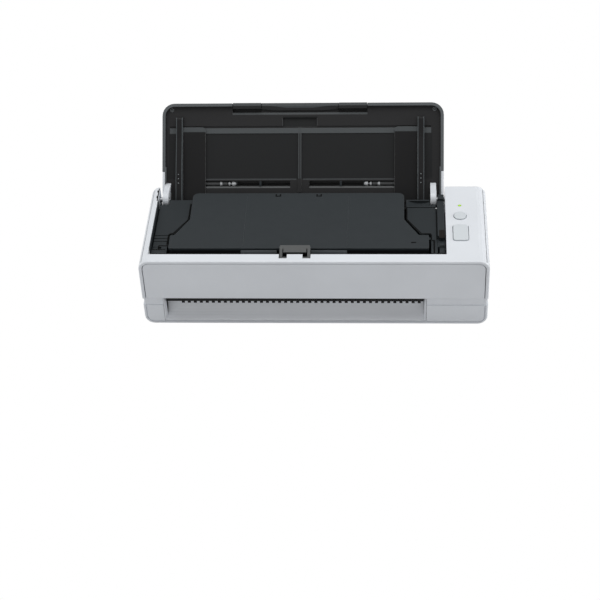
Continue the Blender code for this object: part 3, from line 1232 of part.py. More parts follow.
def gear_phase(name):
    """The turn of each gear at rest that puts its teeth in its neighbour's gaps."""
    toward_pick = math.atan2(PICK_AXIS_Z - FEED_AXIS_Z, PICK_AXIS_Y - FEED_AXIS_Y)
    feed_step = math.tau / FEED_TEETH
    idler_step = math.tau / IDLER_TEETH
    feed = toward_pick
    idler = toward_pick + math.pi + idler_step / 2
    pinion_step = math.tau / PINION_TEETH
    offset = ((PINION_ANGLE - feed) / feed_step) % 1.0
    pinion = PINION_ANGLE + math.pi + pinion_step / 2 + offset * pinion_step
    offset = ((toward_pick - idler) / idler_step) % 1.0
    pick_step = math.tau / PICK_TEETH
    pick = toward_pick + math.pi + pick_step / 2 + offset * pick_step
    return {"feed_gear": feed, "idler_gear": idler, "motor_pinion": pinion, "pick_gear": pick}[name]


def make_gear(name, axis, teeth, pivot, shaft_radius):
    outline = gear_outline(axis, teeth, GEAR_MODULE, gear_phase(name))
    form = prism("x", outline, GEAR_X, GEAR_X + GEAR_WIDTH)
    bore = rod("x", axis, shaft_radius + FIT, GEAR_X - OVERRUN, GEAR_X + GEAR_WIDTH + OVERRUN, 20)
    node(name, cut(form, bore), GEAR_WHITE, pivot)


def loop_round(first, first_radius, second, second_radius, steps=12):
    """The outline of a belt drawn tight round two circles."""
    gap = Vector(second) - Vector(first)
    heading = math.atan2(gap.y, gap.x)
    spread = math.acos((first_radius - second_radius) / gap.length)
    outline = []
    for step in range(steps + 1):
        angle = heading + spread + (math.tau - 2 * spread) * step / steps
        outline.append((first[0] + first_radius * math.cos(angle),
                        first[1] + first_radius * math.sin(angle)))
    for step in range(steps + 1):
        angle = heading - spread + 2 * spread * step / steps
        outline.append((second[0] + second_radius * math.cos(angle),
                        second[1] + second_radius * math.sin(angle)))
    return outline


def make_belt():
    feed, far = (FEED_AXIS_Y, FEED_AXIS_Z), (EXIT_AXIS_Y, EXIT_AXIS_Z)
    middle = PULLEY_X + (PULLEY_WIDTH - RUN) / 2
    low, high = middle - BELT_WIDTH / 2, middle + BELT_WIDTH / 2
    gap = FIT + BELT_THICKNESS
    outer = loop_round(feed, FEED_PULLEY_RADIUS + gap, far, EXIT_PULLEY_RADIUS + gap)
    inner = loop_round(feed, FEED_PULLEY_RADIUS + FIT, far, EXIT_PULLEY_RADIUS + FIT)
    form = cut(prism("x", outer, low, high), prism("x", inner, low - OVERRUN, high + OVERRUN))
    node("drive_belt", form, RUBBER)


def make_motor():
    bracket_end = BRACKET_X + BRACKET_THICKNESS
    low = PLATE_TOP + FIT
    side = MOTOR_RADIUS
    plate = slab((BRACKET_X, bracket_end), (MOTOR_Y - side, MOTOR_Y + side), (low, MOTOR_Z + side))
    foot = slab((BRACKET_X, BRACKET_X + BRACKET_FOOT), (MOTOR_Y - side, MOTOR_Y - side / 2),
                (low, low + BRACKET_THICKNESS))
    hole_radius = MOTOR_SHAFT_RADIUS + ROLLER_ROOM
    hole = rod("x", (MOTOR_Y, MOTOR_Z), hole_radius, BRACKET_X - OVERRUN, bracket_end + OVERRUN)
    node("motor_bracket", cut(union(plate, foot), hole), STEEL)
    start = bracket_end + FIT
    runs = [(GEAR_X, start, MOTOR_SHAFT_RADIUS), (start, start + MOTOR_LENGTH, MOTOR_RADIUS - ROLLER_ROOM)]
    node("drive_motor", turned((MOTOR_Y, MOTOR_Z), stepped(runs), 32), STEEL)


# Wings beside the inner cover

def make_wings():
    top = DECK_HEIGHT + OVERRUN
    keep_out = prism("z", adf_outline(ADF_WING_GAP, ADF_WING_GAP_REAR), 0.0, top)
    rear_left = PATH_CENTRE - ADF_REAR_LEFT - ADF_WING_GAP
    rear_right = PATH_CENTRE + ADF_REAR_RIGHT + ADF_WING_GAP
    rear_room = slab((rear_left, rear_right), (ADF_REAR_Y - ADF_CORNER, REAR_Y), (0.0, top))
    for side in (-1, 1):
        wall = (WELL_LEFT if side < 0 else WELL_RIGHT) - side * ADF_GAP
        frame = PATH_LEFT - FRAME_THICKNESS if side < 0 else PATH_RIGHT + FRAME_THICKNESS
        toe_out = (ADF_FRONT_LEFT if side < 0 else ADF_FRONT_RIGHT) + ADF_WING_GAP
        toe = PATH_CENTRE + side * toe_out

        def block(inner, outer, front, rear, low, high):
            across = (min(inner, outer), max(inner, outer))
            return slab(across, (front, rear), (low, high))

        shelf = block(PATH_CENTRE, wall, WING_FRONT_Y, WING_REAR_Y, WING_SHELF, WING_TOP)
        deep = block(PATH_CENTRE, frame, GUIDE_FRONT_Y, GUIDE_REAR_Y, FRAME_WAIST + FIT, WING_SHELF + FIT)
        deep = common(deep, prism("x", guide_profile(), -HALF_WIDTH, HALF_WIDTH))
        toe_end = toe + side * WING_TOE_WIDTH
        toe_block = block(toe, toe_end, WING_TOE_Y, WING_FRONT_Y + FIT, WING_SHELF, WING_TOP)
        form = union(shelf, deep, toe_block)
        liner = wall - side * LINER_THICKNESS
        if side > 0:
            form = union(form, block(liner, wall, ADF_SLANT_LOW_Y, WING_REAR_Y, WING_SHELF, WING_WALL_TOP))
        arm_outer = ARM_LEFT - ARM_ROOM if side < 0 else ARM_RIGHT + ARM_ROOM
        arm_inner = arm_outer - side * (ARM_THICKNESS + 2 * ARM_ROOM)
        arm_span = (min(arm_outer, arm_inner), max(arm_outer, arm_inner))
        pivot = (CHUTE_PIVOT_Y, CHUTE_PIVOT_Z)
        pin_reach = (ADF_REAR_LEFT if side < 0 else ADF_REAR_RIGHT) + ADF_PIN_LENGTH + FIT
        pin_span = sorted((PATH_CENTRE, PATH_CENTRE + side * pin_reach))
        tools = [
            keep_out.copy(),
            rear_room.copy(),
            rod("x", pivot, ARM_SWEEP, *arm_span, 32),
            rod("x", (ADF_PIVOT_Y, ADF_PIVOT_Z), ADF_PIN_RADIUS + FIT, *pin_span, 20),
        ]
        for span in chute_pin_spans(FIT):
            tools.append(rod("x", pivot, PIN_RADIUS + FIT, *span))
        name = "wing_left" if side < 0 else "wing_right"
        if side < 0:
            tools += left_wing_cuts(top)
        else:
            tools += right_wing_cuts(top)
        node(name, cut(form, *tools), DARK)
    keep_out.free()
    rear_room.free()


def left_wing_cuts(top):
    """The channel beside the rim and the steps across the front of the left wing."""
    toe = PATH_CENTRE - ADF_FRONT_LEFT
    cuts = [slab((WELL_LEFT, WING_LEFT_EDGE), (WING_TOE_Y - OVERRUN, REAR_Y), (WING_CHANNEL_FLOOR, top))]
    for step in WING_STEPS_FROM_FRONT:
        along = FRONT_Y + step
        cuts.append(slab((WELL_LEFT, toe), (along, along + WING_STEP_WIDTH),
                         (WING_TOP - WING_STEP_DEPTH, top)))
    return cuts


def right_wing_cuts(top):
    """The channels behind and beside the right wing's front part, and the scoop behind it."""
    liner = WELL_RIGHT - ADF_GAP - LINER_THICKNESS
    edge = liner - WING_CHANNEL
    beside = slab((edge, liner), (WING_TOE_Y - OVERRUN, REAR_Y), (WING_CHANNEL_FLOOR, top))
    behind = slab((PATH_CENTRE, liner), (SCOOP_FRONT_Y - WING_CHANNEL, SCOOP_FRONT_Y),
                  (WING_CHANNEL_FLOOR, top))
    centre = (SCOOP_MIDDLE, WING_TOP - SCOOP_DEPTH + SCOOP_RADIUS)
    scoop = rod("y", centre, SCOOP_RADIUS, SCOOP_FRONT_Y + SCOOP_WALL, WING_REAR_Y - SCOOP_WALL, 48)
    return [beside, behind, scoop]


# Paper chute. Its pieces are drawn in the chute's own frame: X across, Y along it, Z out of its face.

def chute_outline(inset, low=CHUTE_HEEL):
    left, right = CHUTE_LEFT + inset, CHUTE_RIGHT - inset
    top = CHUTE_TIP - inset
    corner = CHUTE_CORNER - inset
    corners = [(left, low + inset), (right, low + inset), (right, top), (left, top)]
    return rounded(corners, [0, 0, corner, corner], 6)


def make_chute_shell(pivot):
    """The white outer shell: a dished skin with cheeks beside the pivot and two arms."""
    form = prism("z", chute_outline(0.0), CHUTE_BACK, CHUTE_FACE)
    ends = [face for face in form.faces if all(abs(corner.co.z - CHUTE_BACK) < FIT for corner in face.verts)]
    edges = {edge for face in ends for edge in face.edges}
    bmesh.ops.bevel(form, geom=list(edges), offset=CHUTE_EDGE, segments=3, profile=0.5, affect="EDGES")
    floor, above = CHUTE_BACK + CHUTE_SKIN, CHUTE_FACE + OVERRUN
    form = cut(form, prism("z", chute_outline(CHUTE_SKIN, CHUTE_HEEL - OVERRUN), floor, above))
    cheeks = []
    for side in (-1, 1):
        outer = (CHUTE_LEFT if side < 0 else CHUTE_RIGHT) - side * CHEEK_STEP
        inner = outer - side * CHUTE_SKIN
        across = (min(outer, inner), max(outer, inner))
        cheeks.append(slab(across, (CHUTE_HEEL, CHUTE_CHEEK_TOP), (CHUTE_FACE - FIT, CHUTE_RIM)))
        arm = ARM_LEFT if side < 0 else ARM_RIGHT
        far = arm - side * ARM_THICKNESS
        cheeks.append(prism("x", arm_outline(), min(arm, far), max(arm, far)))
    form = union(form, *cheeks)
    holes = [rod("x", (0.0, 0.0), PIN_RADIUS + FIT, *span) for span in chute_pin_spans(OVERRUN)]
    half = EXTENSION_WIDTH / 2 + RUN
    mouth = slab((CHUTE_CENTRE - half, CHUTE_CENTRE + half),
                 (CHUTE_TIP - CHUTE_SKIN - FIT, CHUTE_TIP + OVERRUN), (floor, above))
    node("chute_shell", cut(form, mouth, *holes), WHITE, pivot)


def arm_outline():
    """A hinge arm from the side, in the chute's frame: a round eye and a foot on the shell's skin."""
    root = CHUTE_BACK + CHUTE_SKIN / 2
    radius = ARM_RADIUS
    reach = math.hypot(ARM_TOP, CHUTE_FACE)
    start = math.atan2(CHUTE_FACE, ARM_TOP) + math.acos(radius / reach)
    end = math.radians(200.0)
    steps = 12
    turns = [start + (end - start) * step / steps for step in range(steps + 1)]
    eye = [(radius * math.cos(turn), radius * math.sin(turn)) for turn in turns]
    low = CHUTE_HEEL + CHUTE_SKIN
    return [(ARM_TOP, root), (ARM_TOP, CHUTE_FACE)] + eye + [(low, CHUTE_FACE), (low, root)]


def make_chute_liner(pivot):
    """The dark tray inside the shell, with its rim, pocket, ledge, rib and slots."""
    inner = CHUTE_SKIN + FIT
    under = CHUTE_FACE - CHUTE_LINER
    low = CHUTE_HEEL + CHUTE_SKIN
    cheek = CHUTE_CHEEK_TOP + FIT
    tray = prism("z", chute_outline(inner, low - inner), under, CHUTE_RIM)
    flange = prism("z", chute_outline(0.0, cheek), CHUTE_FACE + FIT, CHUTE_RIM)
    form = union(tray, flange)
    above = CHUTE_RIM + OVERRUN
    beyond = CHUTE_TIP + OVERRUN
    half = EXTENSION_WIDTH / 2 + RUN
    recess_low = CHUTE_TIP - EXTENSION_RECESS
    start, end = recess_low - EXTENSION_BEVEL, recess_low + EXTENSION_BEVEL
    deep = CHUTE_FACE - EXTENSION_BEVEL_DEPTH
    bevel = [(start, CHUTE_FACE), (recess_low, deep), (end, deep), (end, above), (start, above)]
    lip = CHUTE_SLOT_LOW - CHUTE_SLOT_BEVEL
    slot_side = [(lip, CHUTE_FACE), (CHUTE_SLOT_LOW, under), (CHUTE_SLOT_LOW, under - OVERRUN),
                 (CHUTE_SLOT_TOP, under - OVERRUN), (CHUTE_SLOT_TOP, above), (lip, above)]
    tools = [
        prism("z", chute_outline(CHUTE_RIM_WIDTH, cheek + CHUTE_RIM_WIDTH / 2), CHUTE_FACE, above),
        prism("z", chute_outline(CHUTE_CHEEK, low - OVERRUN), CHUTE_FACE, above),
        slab((CHUTE_CENTRE - half, CHUTE_CENTRE + half), (recess_low, beyond), (under - OVERRUN, above)),
        slab((CHUTE_CENTRE - POCKET_WIDTH / 2, CHUTE_CENTRE + POCKET_WIDTH / 2),
             (POCKET_LOW, POCKET_TOP), (under - OVERRUN, above)),
        slab((CHUTE_CENTRE - POCKET_WIDTH / 2, CHUTE_CENTRE + POCKET_WIDTH / 2),
             (POCKET_LOW, recess_low + OVERRUN), (CHUTE_FACE - POCKET_SHELF_DEPTH, above)),
        slab((CHUTE_CENTRE - GROOVE_HALF, CHUTE_CENTRE + GROOVE_HALF),
             (GROOVE_LOW, GROOVE_LOW + GROOVE_WIDTH), (CHUTE_FACE - GROOVE_DEPTH, above)),
        prism("x", bevel, CHUTE_CENTRE - half, CHUTE_CENTRE + half),
        rod("z", (CHUTE_CENTRE, RACK_AXIS), PINION_PIN_RADIUS + FIT, under - OVERRUN, above, 16),
    ]
    for side in (-1, 1):
        near, far = side * CHUTE_SLOT_INNER, side * CHUTE_SLOT_OUTER
        span = sorted((CHUTE_CENTRE + near, CHUTE_CENTRE + far))
        tools.append(prism("x", slot_side, *span))
        far = side * (stem_reach() + STEM_WIDTH / 2 + RUN)
        near = side * (stem_reach() - STEM_WIDTH / 2 - GUIDE_TRAVEL - RUN)
        span = sorted((CHUTE_CENTRE + near, CHUTE_CENTRE + far))
        tools.append(slab(span, (STEM_LOW - FIT, STEM_TOP + FIT), (under - OVERRUN, above)))
        near, far = side * RIB_WIDTH / 2, side * (SHEET_WIDTH / 2 - FIN_FOOT)
        span = sorted((CHUTE_CENTRE + near, CHUTE_CENTRE + far))
        tools.append(slab(span, (RECESS_LOW, LEDGE_LOW), (CHUTE_FACE - RECESS_DEPTH, above)))
        arm = ARM_LEFT if side < 0 else ARM_RIGHT
        span = sorted((arm + side * RUN, arm - side * (ARM_THICKNESS + RUN)))
        tools.append(slab(span, (low - OVERRUN, ARM_TOP + RUN), (under - OVERRUN, above)))
    form = cut(form, *tools)
    rib = slab((CHUTE_CENTRE - RIB_WIDTH / 2, CHUTE_CENTRE + RIB_WIDTH / 2), (RIB_LOW, LEDGE_LOW + FIT),
               (CHUTE_FACE - FIT, CHUTE_FACE + RIB_PROUD))
    node("chute_liner", union(form, rib), BLACK, pivot)


def stem_reach():
    """How far the middle of a side guide's stem lies from the path's centre at rest."""
    return SHEET_WIDTH / 2 - STEM_INSET


def rack_outline(side):
    """A rack's bar and teeth in the chute's plane, from its stem to just past the pinion."""
    pitch = RACK_MODULE * math.pi
    start = CHUTE_CENTRE + side * (stem_reach() + STEM_WIDTH / 2)
    end = CHUTE_CENTRE - side * RACK_PAST_PINION
    away = -side
    line = RACK_AXIS + away * RACK_PITCH_RADIUS
    back = line + away * RACK_BACK
    root = line + away * RACK_MODULE
    tip = line - away * RACK_MODULE * RACK_TIP_SHARE
    outline = [(start, back), (start, root)]
    count = int(abs(start - end) / pitch) - 1
    first = CHUTE_CENTRE + side * pitch * (count - 2)
    wide, narrow = RACK_ROOT_SHARE * pitch, RACK_CREST_SHARE * pitch
    for tooth in range(count):
        middle = first - side * tooth * pitch
        for offset, level in ((wide, root), (narrow, tip), (-narrow, tip), (-wide, root)):
            outline.append((middle + side * offset, level))
    end = first - side * count * pitch
    outline += [(end, root), (end, back)]
    return outline


def make_side_guides(pivot):
    face = CHUTE_FACE + FIT
    for side, name in ((-1, "left"), (1, "right")):
        inner = CHUTE_CENTRE + side * SHEET_WIDTH / 2
        outer = inner + side * FIN_THICKNESS
        foot = inner - side * FIN_FOOT
        slide = pivot_at(f"guide_{name}_axis", (inner, 0.0, 0.0), pivot)
        low, high = FIN_LOW, FIN_TOP
        tall, short = CHUTE_FACE + FIN_HEIGHT, CHUTE_FACE + FIN_LOW_HEIGHT
        corners = [(low, face), (high, face), (high, short), (FIN_TAPER_TOP, short), (FIN_TAPER_LOW, tall),
                   (low, tall)]
        side_view = rounded(corners, [0, 0, FIN_LOW_HEIGHT / 2, 0, 0, FIN_HEIGHT / 4], 3)
        fin = prism("x", side_view, min(inner, outer), max(inner, outer))
        plate_outline = rounded([(foot, low), (inner + side * FIT, low), (inner + side * FIT, FIN_PLATE_TOP),
                                 (foot, FIN_PLATE_TOP)], [0, 0, 0, FIN_THICKNESS / 2], 4)
        plate = prism("z", plate_outline, face, face + FIN_PLATE)
        layer = CHUTE_BACK + CHUTE_SKIN + FIT
        if side > 0:
            layer += RACK_THICKNESS + FIT
        stem_middle = CHUTE_CENTRE + side * stem_reach()
        stem_x = (stem_middle - STEM_WIDTH / 2, stem_middle + STEM_WIDTH / 2)
        stem = slab(stem_x, (STEM_LOW, STEM_TOP), (layer, face + FIN_PLATE / 2))
        rack = prism("z", rack_outline(side), layer, layer + RACK_THICKNESS)
        back = RACK_AXIS - side * (RACK_PITCH_RADIUS + RACK_BACK)
        reach = sorted((back, STEM_LOW if side < 0 else STEM_TOP))
        web = slab(stem_x, reach, (layer, layer + RACK_THICKNESS))
        form = union(fin, plate, stem, web, rack)
        node(f"guide_{name}", form, BLACK, slide)
    turn = pivot_at("guide_pinion_axis", (CHUTE_CENTRE, RACK_AXIS, 0.0), pivot)
    layer = CHUTE_BACK + CHUTE_SKIN + FIT
    phase = math.pi / 2 + math.pi / RACK_PINION_TEETH
    gear = prism("z", gear_outline((CHUTE_CENTRE, RACK_AXIS), RACK_PINION_TEETH, RACK_MODULE, phase),
                 layer, layer + 2 * RACK_THICKNESS + FIT)
    pin = rod("z", (CHUTE_CENTRE, RACK_AXIS), PINION_PIN_RADIUS, layer + FIT, CHUTE_FACE - FIT, 16)
    form = union(gear, pin)
    node("guide_pinion", form, GEAR_WHITE, turn)


def make_extension(pivot):
    top = CHUTE_TIP + EXTENSION_PROUD
    low = top - EXTENSION_LENGTH
    lip_low = top - EXTENSION_LIP
    outer_slide = pivot_at("extension_outer_axis", (CHUTE_CENTRE, CHUTE_TIP, 0.0), pivot)
    inner_slide = pivot_at("extension_inner_axis", (CHUTE_CENTRE, CHUTE_TIP, 0.0), outer_slide)
    first = CHUTE_BACK + CHUTE_SKIN + FIT
    second = first + EXTENSION_PLATE + FIT
    half, middle = EXTENSION_WIDTH / 2, EXTENSION_MIDDLE / 2
    left, right = CHUTE_CENTRE - half, CHUTE_CENTRE + half
    plate = slab((left, right), (low, top), (first, first + EXTENSION_PLATE))
    slant = [(lip_low, first + FIT), (top, first + FIT), (top, EXTENSION_FACE - EXTENSION_SLANT / 2),
             (top - EXTENSION_SLANT, EXTENSION_FACE), (lip_low, EXTENSION_FACE)]
    ends = [prism("x", slant, left, CHUTE_CENTRE - middle), prism("x", slant, CHUTE_CENTRE + middle, right)]
    form = union(plate, *ends)
    node("extension_outer", form, BLACK, outer_slide)
    reach = middle - RUN
    left, right = CHUTE_CENTRE - reach, CHUTE_CENTRE + reach
    plate = slab((left, right), (low, top), (second, second + EXTENSION_PLATE))
    dip = reach / 3
    face = EXTENSION_FACE - EXTENSION_INNER_DROP
    start, end = top - EXTENSION_SLANT, top + EXTENSION_SLANT
    above = face + OVERRUN
    slant_cut = [(start, face), (end, face - EXTENSION_SLANT), (end, above), (start, above)]
    scoop = [(left, lip_low), (left, top), (right, top), (right, lip_low),
             (right - dip, lip_low - SCOOP_RISE), (left + dip, lip_low - SCOOP_RISE)]
    lip = prism("z", scoop, second + FIT, face)
    slanted = cut(lip, prism("x", slant_cut, left - OVERRUN, right + OVERRUN))
    form = union(plate, slanted)
    node("extension_inner", form, BLACK, inner_slide)


def make_chute_roller(pivot):
    middle = (CHUTE_SLOT_LOW + CHUTE_SLOT_TOP) / 2
    spin = pivot_at("chute_roller_axis", (CHUTE_CENTRE, middle, CHUTE_ROLLER_DEPTH), pivot)
    big, shaft = CHUTE_ROLLER_RADIUS, CHUTE_ROLLER_SHAFT
    slim = CHUTE_ROLLER_SLIM
    reach = CHUTE_ROLLER_OUTER - CHUTE_ROLLER_INNER
    radii = (slim, big, slim, shaft, big, slim)
    first = CHUTE_CENTRE - CHUTE_ROLLER_OUTER
    left = [(first + reach * start, first + reach * end, radius)
            for start, end, radius in zip(CHUTE_STEP_SHARES, CHUTE_STEP_SHARES[1:], radii)]
    right = [(2 * CHUTE_CENTRE - end, 2 * CHUTE_CENTRE - start, radius)
             for start, end, radius in reversed(left)]
    ends = CHUTE_SLOT_OUTER - FIT
    runs = [(CHUTE_CENTRE - ends, left[0][0], shaft)] + left + [(left[-1][1], right[0][0], shaft)] + right
    runs.append((right[-1][1], CHUTE_CENTRE + ends, shaft))
    form = turned((middle, CHUTE_ROLLER_DEPTH), stepped(runs), 10)
    node("chute_roller", form, ROLLER_GREY, spin)


def make_chute_pins():
    for (low, high), name in zip(chute_pin_spans(0.0), ("left", "right")):
        form = rod("x", (CHUTE_PIVOT_Y, CHUTE_PIVOT_Z), PIN_RADIUS, low, high, 20)
        node(f"chute_pin_{name}", form, STEEL)


# Exit guide and operator panel

def make_exit_guide():
    """The bracket in front of the inner cover: a cross bar on two slim legs, and their hinge barrels."""
    place = (PATH_CENTRE, EXIT_GUIDE_PIVOT_Y, EXIT_GUIDE_PIVOT_Z)
    pivot = pivot_at("exit_guide_axis", place, own_frame=True)
    length = math.hypot(EXIT_GUIDE_TIP_Y - EXIT_GUIDE_PIVOT_Y, EXIT_GUIDE_TIP_Z - EXIT_GUIDE_PIVOT_Z)
    lean = math.atan2(EXIT_GUIDE_TIP_Z - EXIT_GUIDE_PIVOT_Z, EXIT_GUIDE_TIP_Y - EXIT_GUIDE_PIVOT_Y)
    half = EXIT_GUIDE_WIDTH / 2
    inside = half - EXIT_GUIDE_LEG
    bar_end = inside - EXIT_GUIDE_SLOT
    bar = length - EXIT_GUIDE_BAR
    slot_end = bar + EXIT_GUIDE_SLOT_LENGTH
    corner = EXIT_GUIDE_LEG / 2
    outline = rounded([(-half, 0), (-inside, 0), (-inside, slot_end), (-bar_end, slot_end), (-bar_end, bar),
                       (bar_end, bar), (bar_end, slot_end), (inside, slot_end), (inside, 0), (half, 0),
                       (half, length), (-half, length)],
                      [0, 0, 0, 0, 0, 0, 0, 0, 0, 0, corner, corner], 3)
    form = prism("z", outline, -EXIT_GUIDE_THICKNESS / 2, EXIT_GUIDE_THICKNESS / 2)
    barrels = []
    for side in (-1, 1):
        foot_end = half - EXIT_GUIDE_FOOT
        span = sorted((side * (half - EXIT_GUIDE_BARREL_IN), side * foot_end))
        barrels.append(rod("x", (0.0, 0.0), EXIT_GUIDE_BARREL, *span, 16))
        inner = (half + foot_end) / 2
        span = sorted((side * inner, side * (half + RIM_BOSS_MARGIN / 2)))
        barrels.append(rod("x", (0.0, 0.0), EXIT_GUIDE_PIN, *span, 12))
    form = union(form, *barrels)
    form.transform(Matrix.Rotation(lean, 4, "X"))
    node("exit_guide", form, BRACKET_GREY, pivot)


def make_operator_panel():
    top = DECK_HEIGHT + BUTTON_PROUD
    flange_top = DECK_UNDER - FIT
    flange_low = flange_top - BUTTON_FLANGE_THICKNESS
    stem_low = PANEL_BOARD_TOP + BUTTON_TRAVEL + FIT
    for name, along in (("power_button", POWER_BUTTON_Y), ("scan_button", SCAN_BUTTON_Y)):
        centre = (PANEL_BUTTON_X, along)
        pivot = pivot_at(f"{name}_axis", (*centre, top))
        if name == "power_button":
            cap = rod("z", centre, POWER_BUTTON_RADIUS, flange_low, top, 32)
            flange_radius = POWER_BUTTON_RADIUS + BUTTON_GAP + BUTTON_FLANGE
            flange = rod("z", centre, flange_radius, flange_low, flange_top, 24)
        else:
            cap = prism("z", scan_outline(0.0), flange_low, top)
            flange = prism("z", scan_outline(BUTTON_GAP + BUTTON_FLANGE), flange_low, flange_top)
        rim = [face for face in cap.faces if all(abs(corner.co.z - top) < FIT for corner in face.verts)]
        edges = {edge for face in rim for edge in face.edges}
        bmesh.ops.bevel(cap, geom=list(edges), offset=BUTTON_GAP, segments=2, profile=0.5, affect="EDGES")
        stem = rod("z", centre, BUTTON_STEM_RADIUS, stem_low, flange_low + FIT, 16)
        node(name, union(cap, flange, stem), BUTTON, pivot)
    lens = prism("z", lens_outline(0.0), PANEL_BOARD_TOP + FIT, DECK_HEIGHT + LENS_PROUD)
    node("status_lens", lens, LENS)
    edge = HALF_WIDTH - SKIN - FIT
    board = slab((WELL_RIGHT + WELL_WALL + FIT, edge), (PANEL_BOARD_FRONT, PANEL_BOARD_REAR),
                 (PANEL_BOARD_TOP - BOARD_THICKNESS, PANEL_BOARD_TOP))
    node("panel_board", board, BOARD)


def make_sockets():
    rear = REAR_Y - 2 * FIT
    low = socket_base()
    front = rear - JACK_DEPTH
    half = JACK_WIDTH / 2
    form = soft_slab((JACK_X - half, JACK_X + half), (front, rear), (low, low + JACK_HEIGHT), JACK_EDGE, 1)
    middle = (JACK_X, low + JACK_HEIGHT / 2)
    bore = ring("y", middle, JACK_BORE, JACK_CENTRE_PIN, front + SOCKET_WALL, rear + OVERRUN, 20)
    node("power_jack", cut(form, bore), BLACK)
    half = USB_WIDTH / 2
    form = slab((USB_X - half, USB_X + half), (front, rear), (low, low + USB_HEIGHT))
    wall = SOCKET_WALL
    opening = slab((USB_X - half + wall, USB_X + half - wall), (front + wall, rear + OVERRUN),
                   (low + wall, low + USB_HEIGHT - wall))
    tongue_low = low + (USB_HEIGHT - wall) / 2
    tongue = slab((USB_X - half / 2, USB_X + half / 2), (front + wall / 2, rear - wall),
                  (tongue_low, tongue_low + wall))
    node("usb_port", union(cut(form, opening), tongue), STEEL)
    base = PLATE_TOP + FIT
    edge = HALF_WIDTH - SKIN - BAND_INSET - 2 * FIT
    board_rear = REAR_Y - SKIN - BAND_INSET - FIT
    board = slab((MAIN_BOARD_LEFT, edge), (MAIN_BOARD_FRONT, board_rear), (base, base + BOARD_THICKNESS))
    node("main_board", board, BOARD)


def make_flap():
    pivot = pivot_at("path_flap_axis", (PATH_CENTRE, *flap_axis()))
    centre = flap_axis()
    half = FLAP_THICKNESS / 2
    left, right = PATH_LEFT + 2 * FIT, PATH_RIGHT - 2 * FIT
    plate = slab((left, right), (centre[0] - FLAP_LENGTH, centre[0]), (centre[1] - half, centre[1] + half))
    barrel = rod("x", centre, FLAP_BARREL_RADIUS, left, right, 12)
    pin = rod("x", centre, FLAP_PIN_RADIUS, PATH_LEFT - FRAME_THICKNESS + FIT,
              PATH_RIGHT + FRAME_THICKNESS - FIT, 12)
    node("path_flap", union(plate, barrel, pin), BLACK, pivot)


def put_on_origin():
    """Moves the whole part so that its origin is the bottom centre of its box at rest."""
    bpy.context.view_layer.update()
    pieces = [piece for piece in bpy.context.scene.objects if piece.type == "MESH"]
    corners = [piece.matrix_world @ corner.co for piece in pieces for corner in piece.data.vertices]
    middle = []
    for axis in range(2):
        places = [corner[axis] for corner in corners]
        middle.append((min(places) + max(places)) / 2)
    bpy.data.objects["body_middle"].location = (-middle[0], -middle[1], 0.0)
    bpy.context.view_layer.update()


def main():
    clear_scene()
    make_body_middle()
    make_top_housing()
    make_front_panel()
    make_lower_housing()
    make_bottom_plate()
    make_rear_cover()
    make_slot_comb()
    make_return_ramp()
    make_feet()
    make_side_frames()
    make_path_floor()
    make_front_guide()
    make_rear_guide()
    make_flap()
    cover = pivot_at("inner_cover_axis", (PATH_CENTRE, ADF_PIVOT_Y, ADF_PIVOT_Z))
    make_inner_cover(cover)
    make_inner_guide(cover)
    make_sensors(cover)
    make_rollers(cover)
    make_belt()
    make_motor()
    make_wings()
    chute = pivot_at("chute_axis", (0.0, CHUTE_PIVOT_Y, CHUTE_PIVOT_Z), lean=math.pi / 2 - CHUTE_LEAN,
                     own_frame=True)
    make_chute_shell(chute)
    make_chute_liner(chute)
    make_side_guides(chute)
    make_extension(chute)
    make_chute_roller(chute)
    make_chute_pins()
    make_exit_guide()
    make_operator_panel()
    make_sockets()
    put_on_origin()


main()
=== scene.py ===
"""Looks of the travel document scanner: camera, light, materials and small surface details.

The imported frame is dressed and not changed. Places of the camera and the lights and places in
materials are in metres. Places of small details are in millimetres, in the frame of their form.
"""

import json
import math

import bmesh
import bpy
from mathutils import Matrix, Vector

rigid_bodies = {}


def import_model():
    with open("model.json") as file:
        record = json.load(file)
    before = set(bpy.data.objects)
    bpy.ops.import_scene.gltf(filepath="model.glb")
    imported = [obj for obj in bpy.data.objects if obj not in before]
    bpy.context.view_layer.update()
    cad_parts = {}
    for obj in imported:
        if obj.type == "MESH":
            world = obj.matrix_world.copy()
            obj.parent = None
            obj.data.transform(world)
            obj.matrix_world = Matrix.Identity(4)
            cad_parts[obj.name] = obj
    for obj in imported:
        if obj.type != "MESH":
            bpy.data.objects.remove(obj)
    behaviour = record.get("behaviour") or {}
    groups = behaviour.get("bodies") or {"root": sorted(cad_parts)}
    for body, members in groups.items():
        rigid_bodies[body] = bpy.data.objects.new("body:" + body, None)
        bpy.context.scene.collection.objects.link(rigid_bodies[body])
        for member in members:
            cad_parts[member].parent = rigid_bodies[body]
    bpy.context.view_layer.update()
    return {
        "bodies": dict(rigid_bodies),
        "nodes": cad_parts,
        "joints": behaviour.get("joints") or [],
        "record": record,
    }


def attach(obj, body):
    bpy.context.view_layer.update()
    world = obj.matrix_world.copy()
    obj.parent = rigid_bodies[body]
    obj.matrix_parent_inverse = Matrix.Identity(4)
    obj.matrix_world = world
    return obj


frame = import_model()
NODES = frame["nodes"]

# ---------------------------------------------------------------- frames

MIDDLE_Y = -0.031216
REAR_Y = 0.0525
CHUTE_PIVOT = (0, 0.045, 0.064)
CHUTE_TILT = math.radians(49)
CHUTE_MIDDLE = -0.0166

BODY = Matrix.Translation((0, MIDDLE_Y, 0))
CHUTE = BODY @ Matrix.Translation(CHUTE_PIVOT) @ Matrix.Rotation(CHUTE_TILT, 4, "X")
REAR = BODY @ Matrix.Translation((0, REAR_Y, 0)) @ Matrix.Rotation(math.radians(-90), 4, "X")
UNDER = BODY @ Matrix.Rotation(math.radians(180), 4, "X")


# ---------------------------------------------------------------- camera

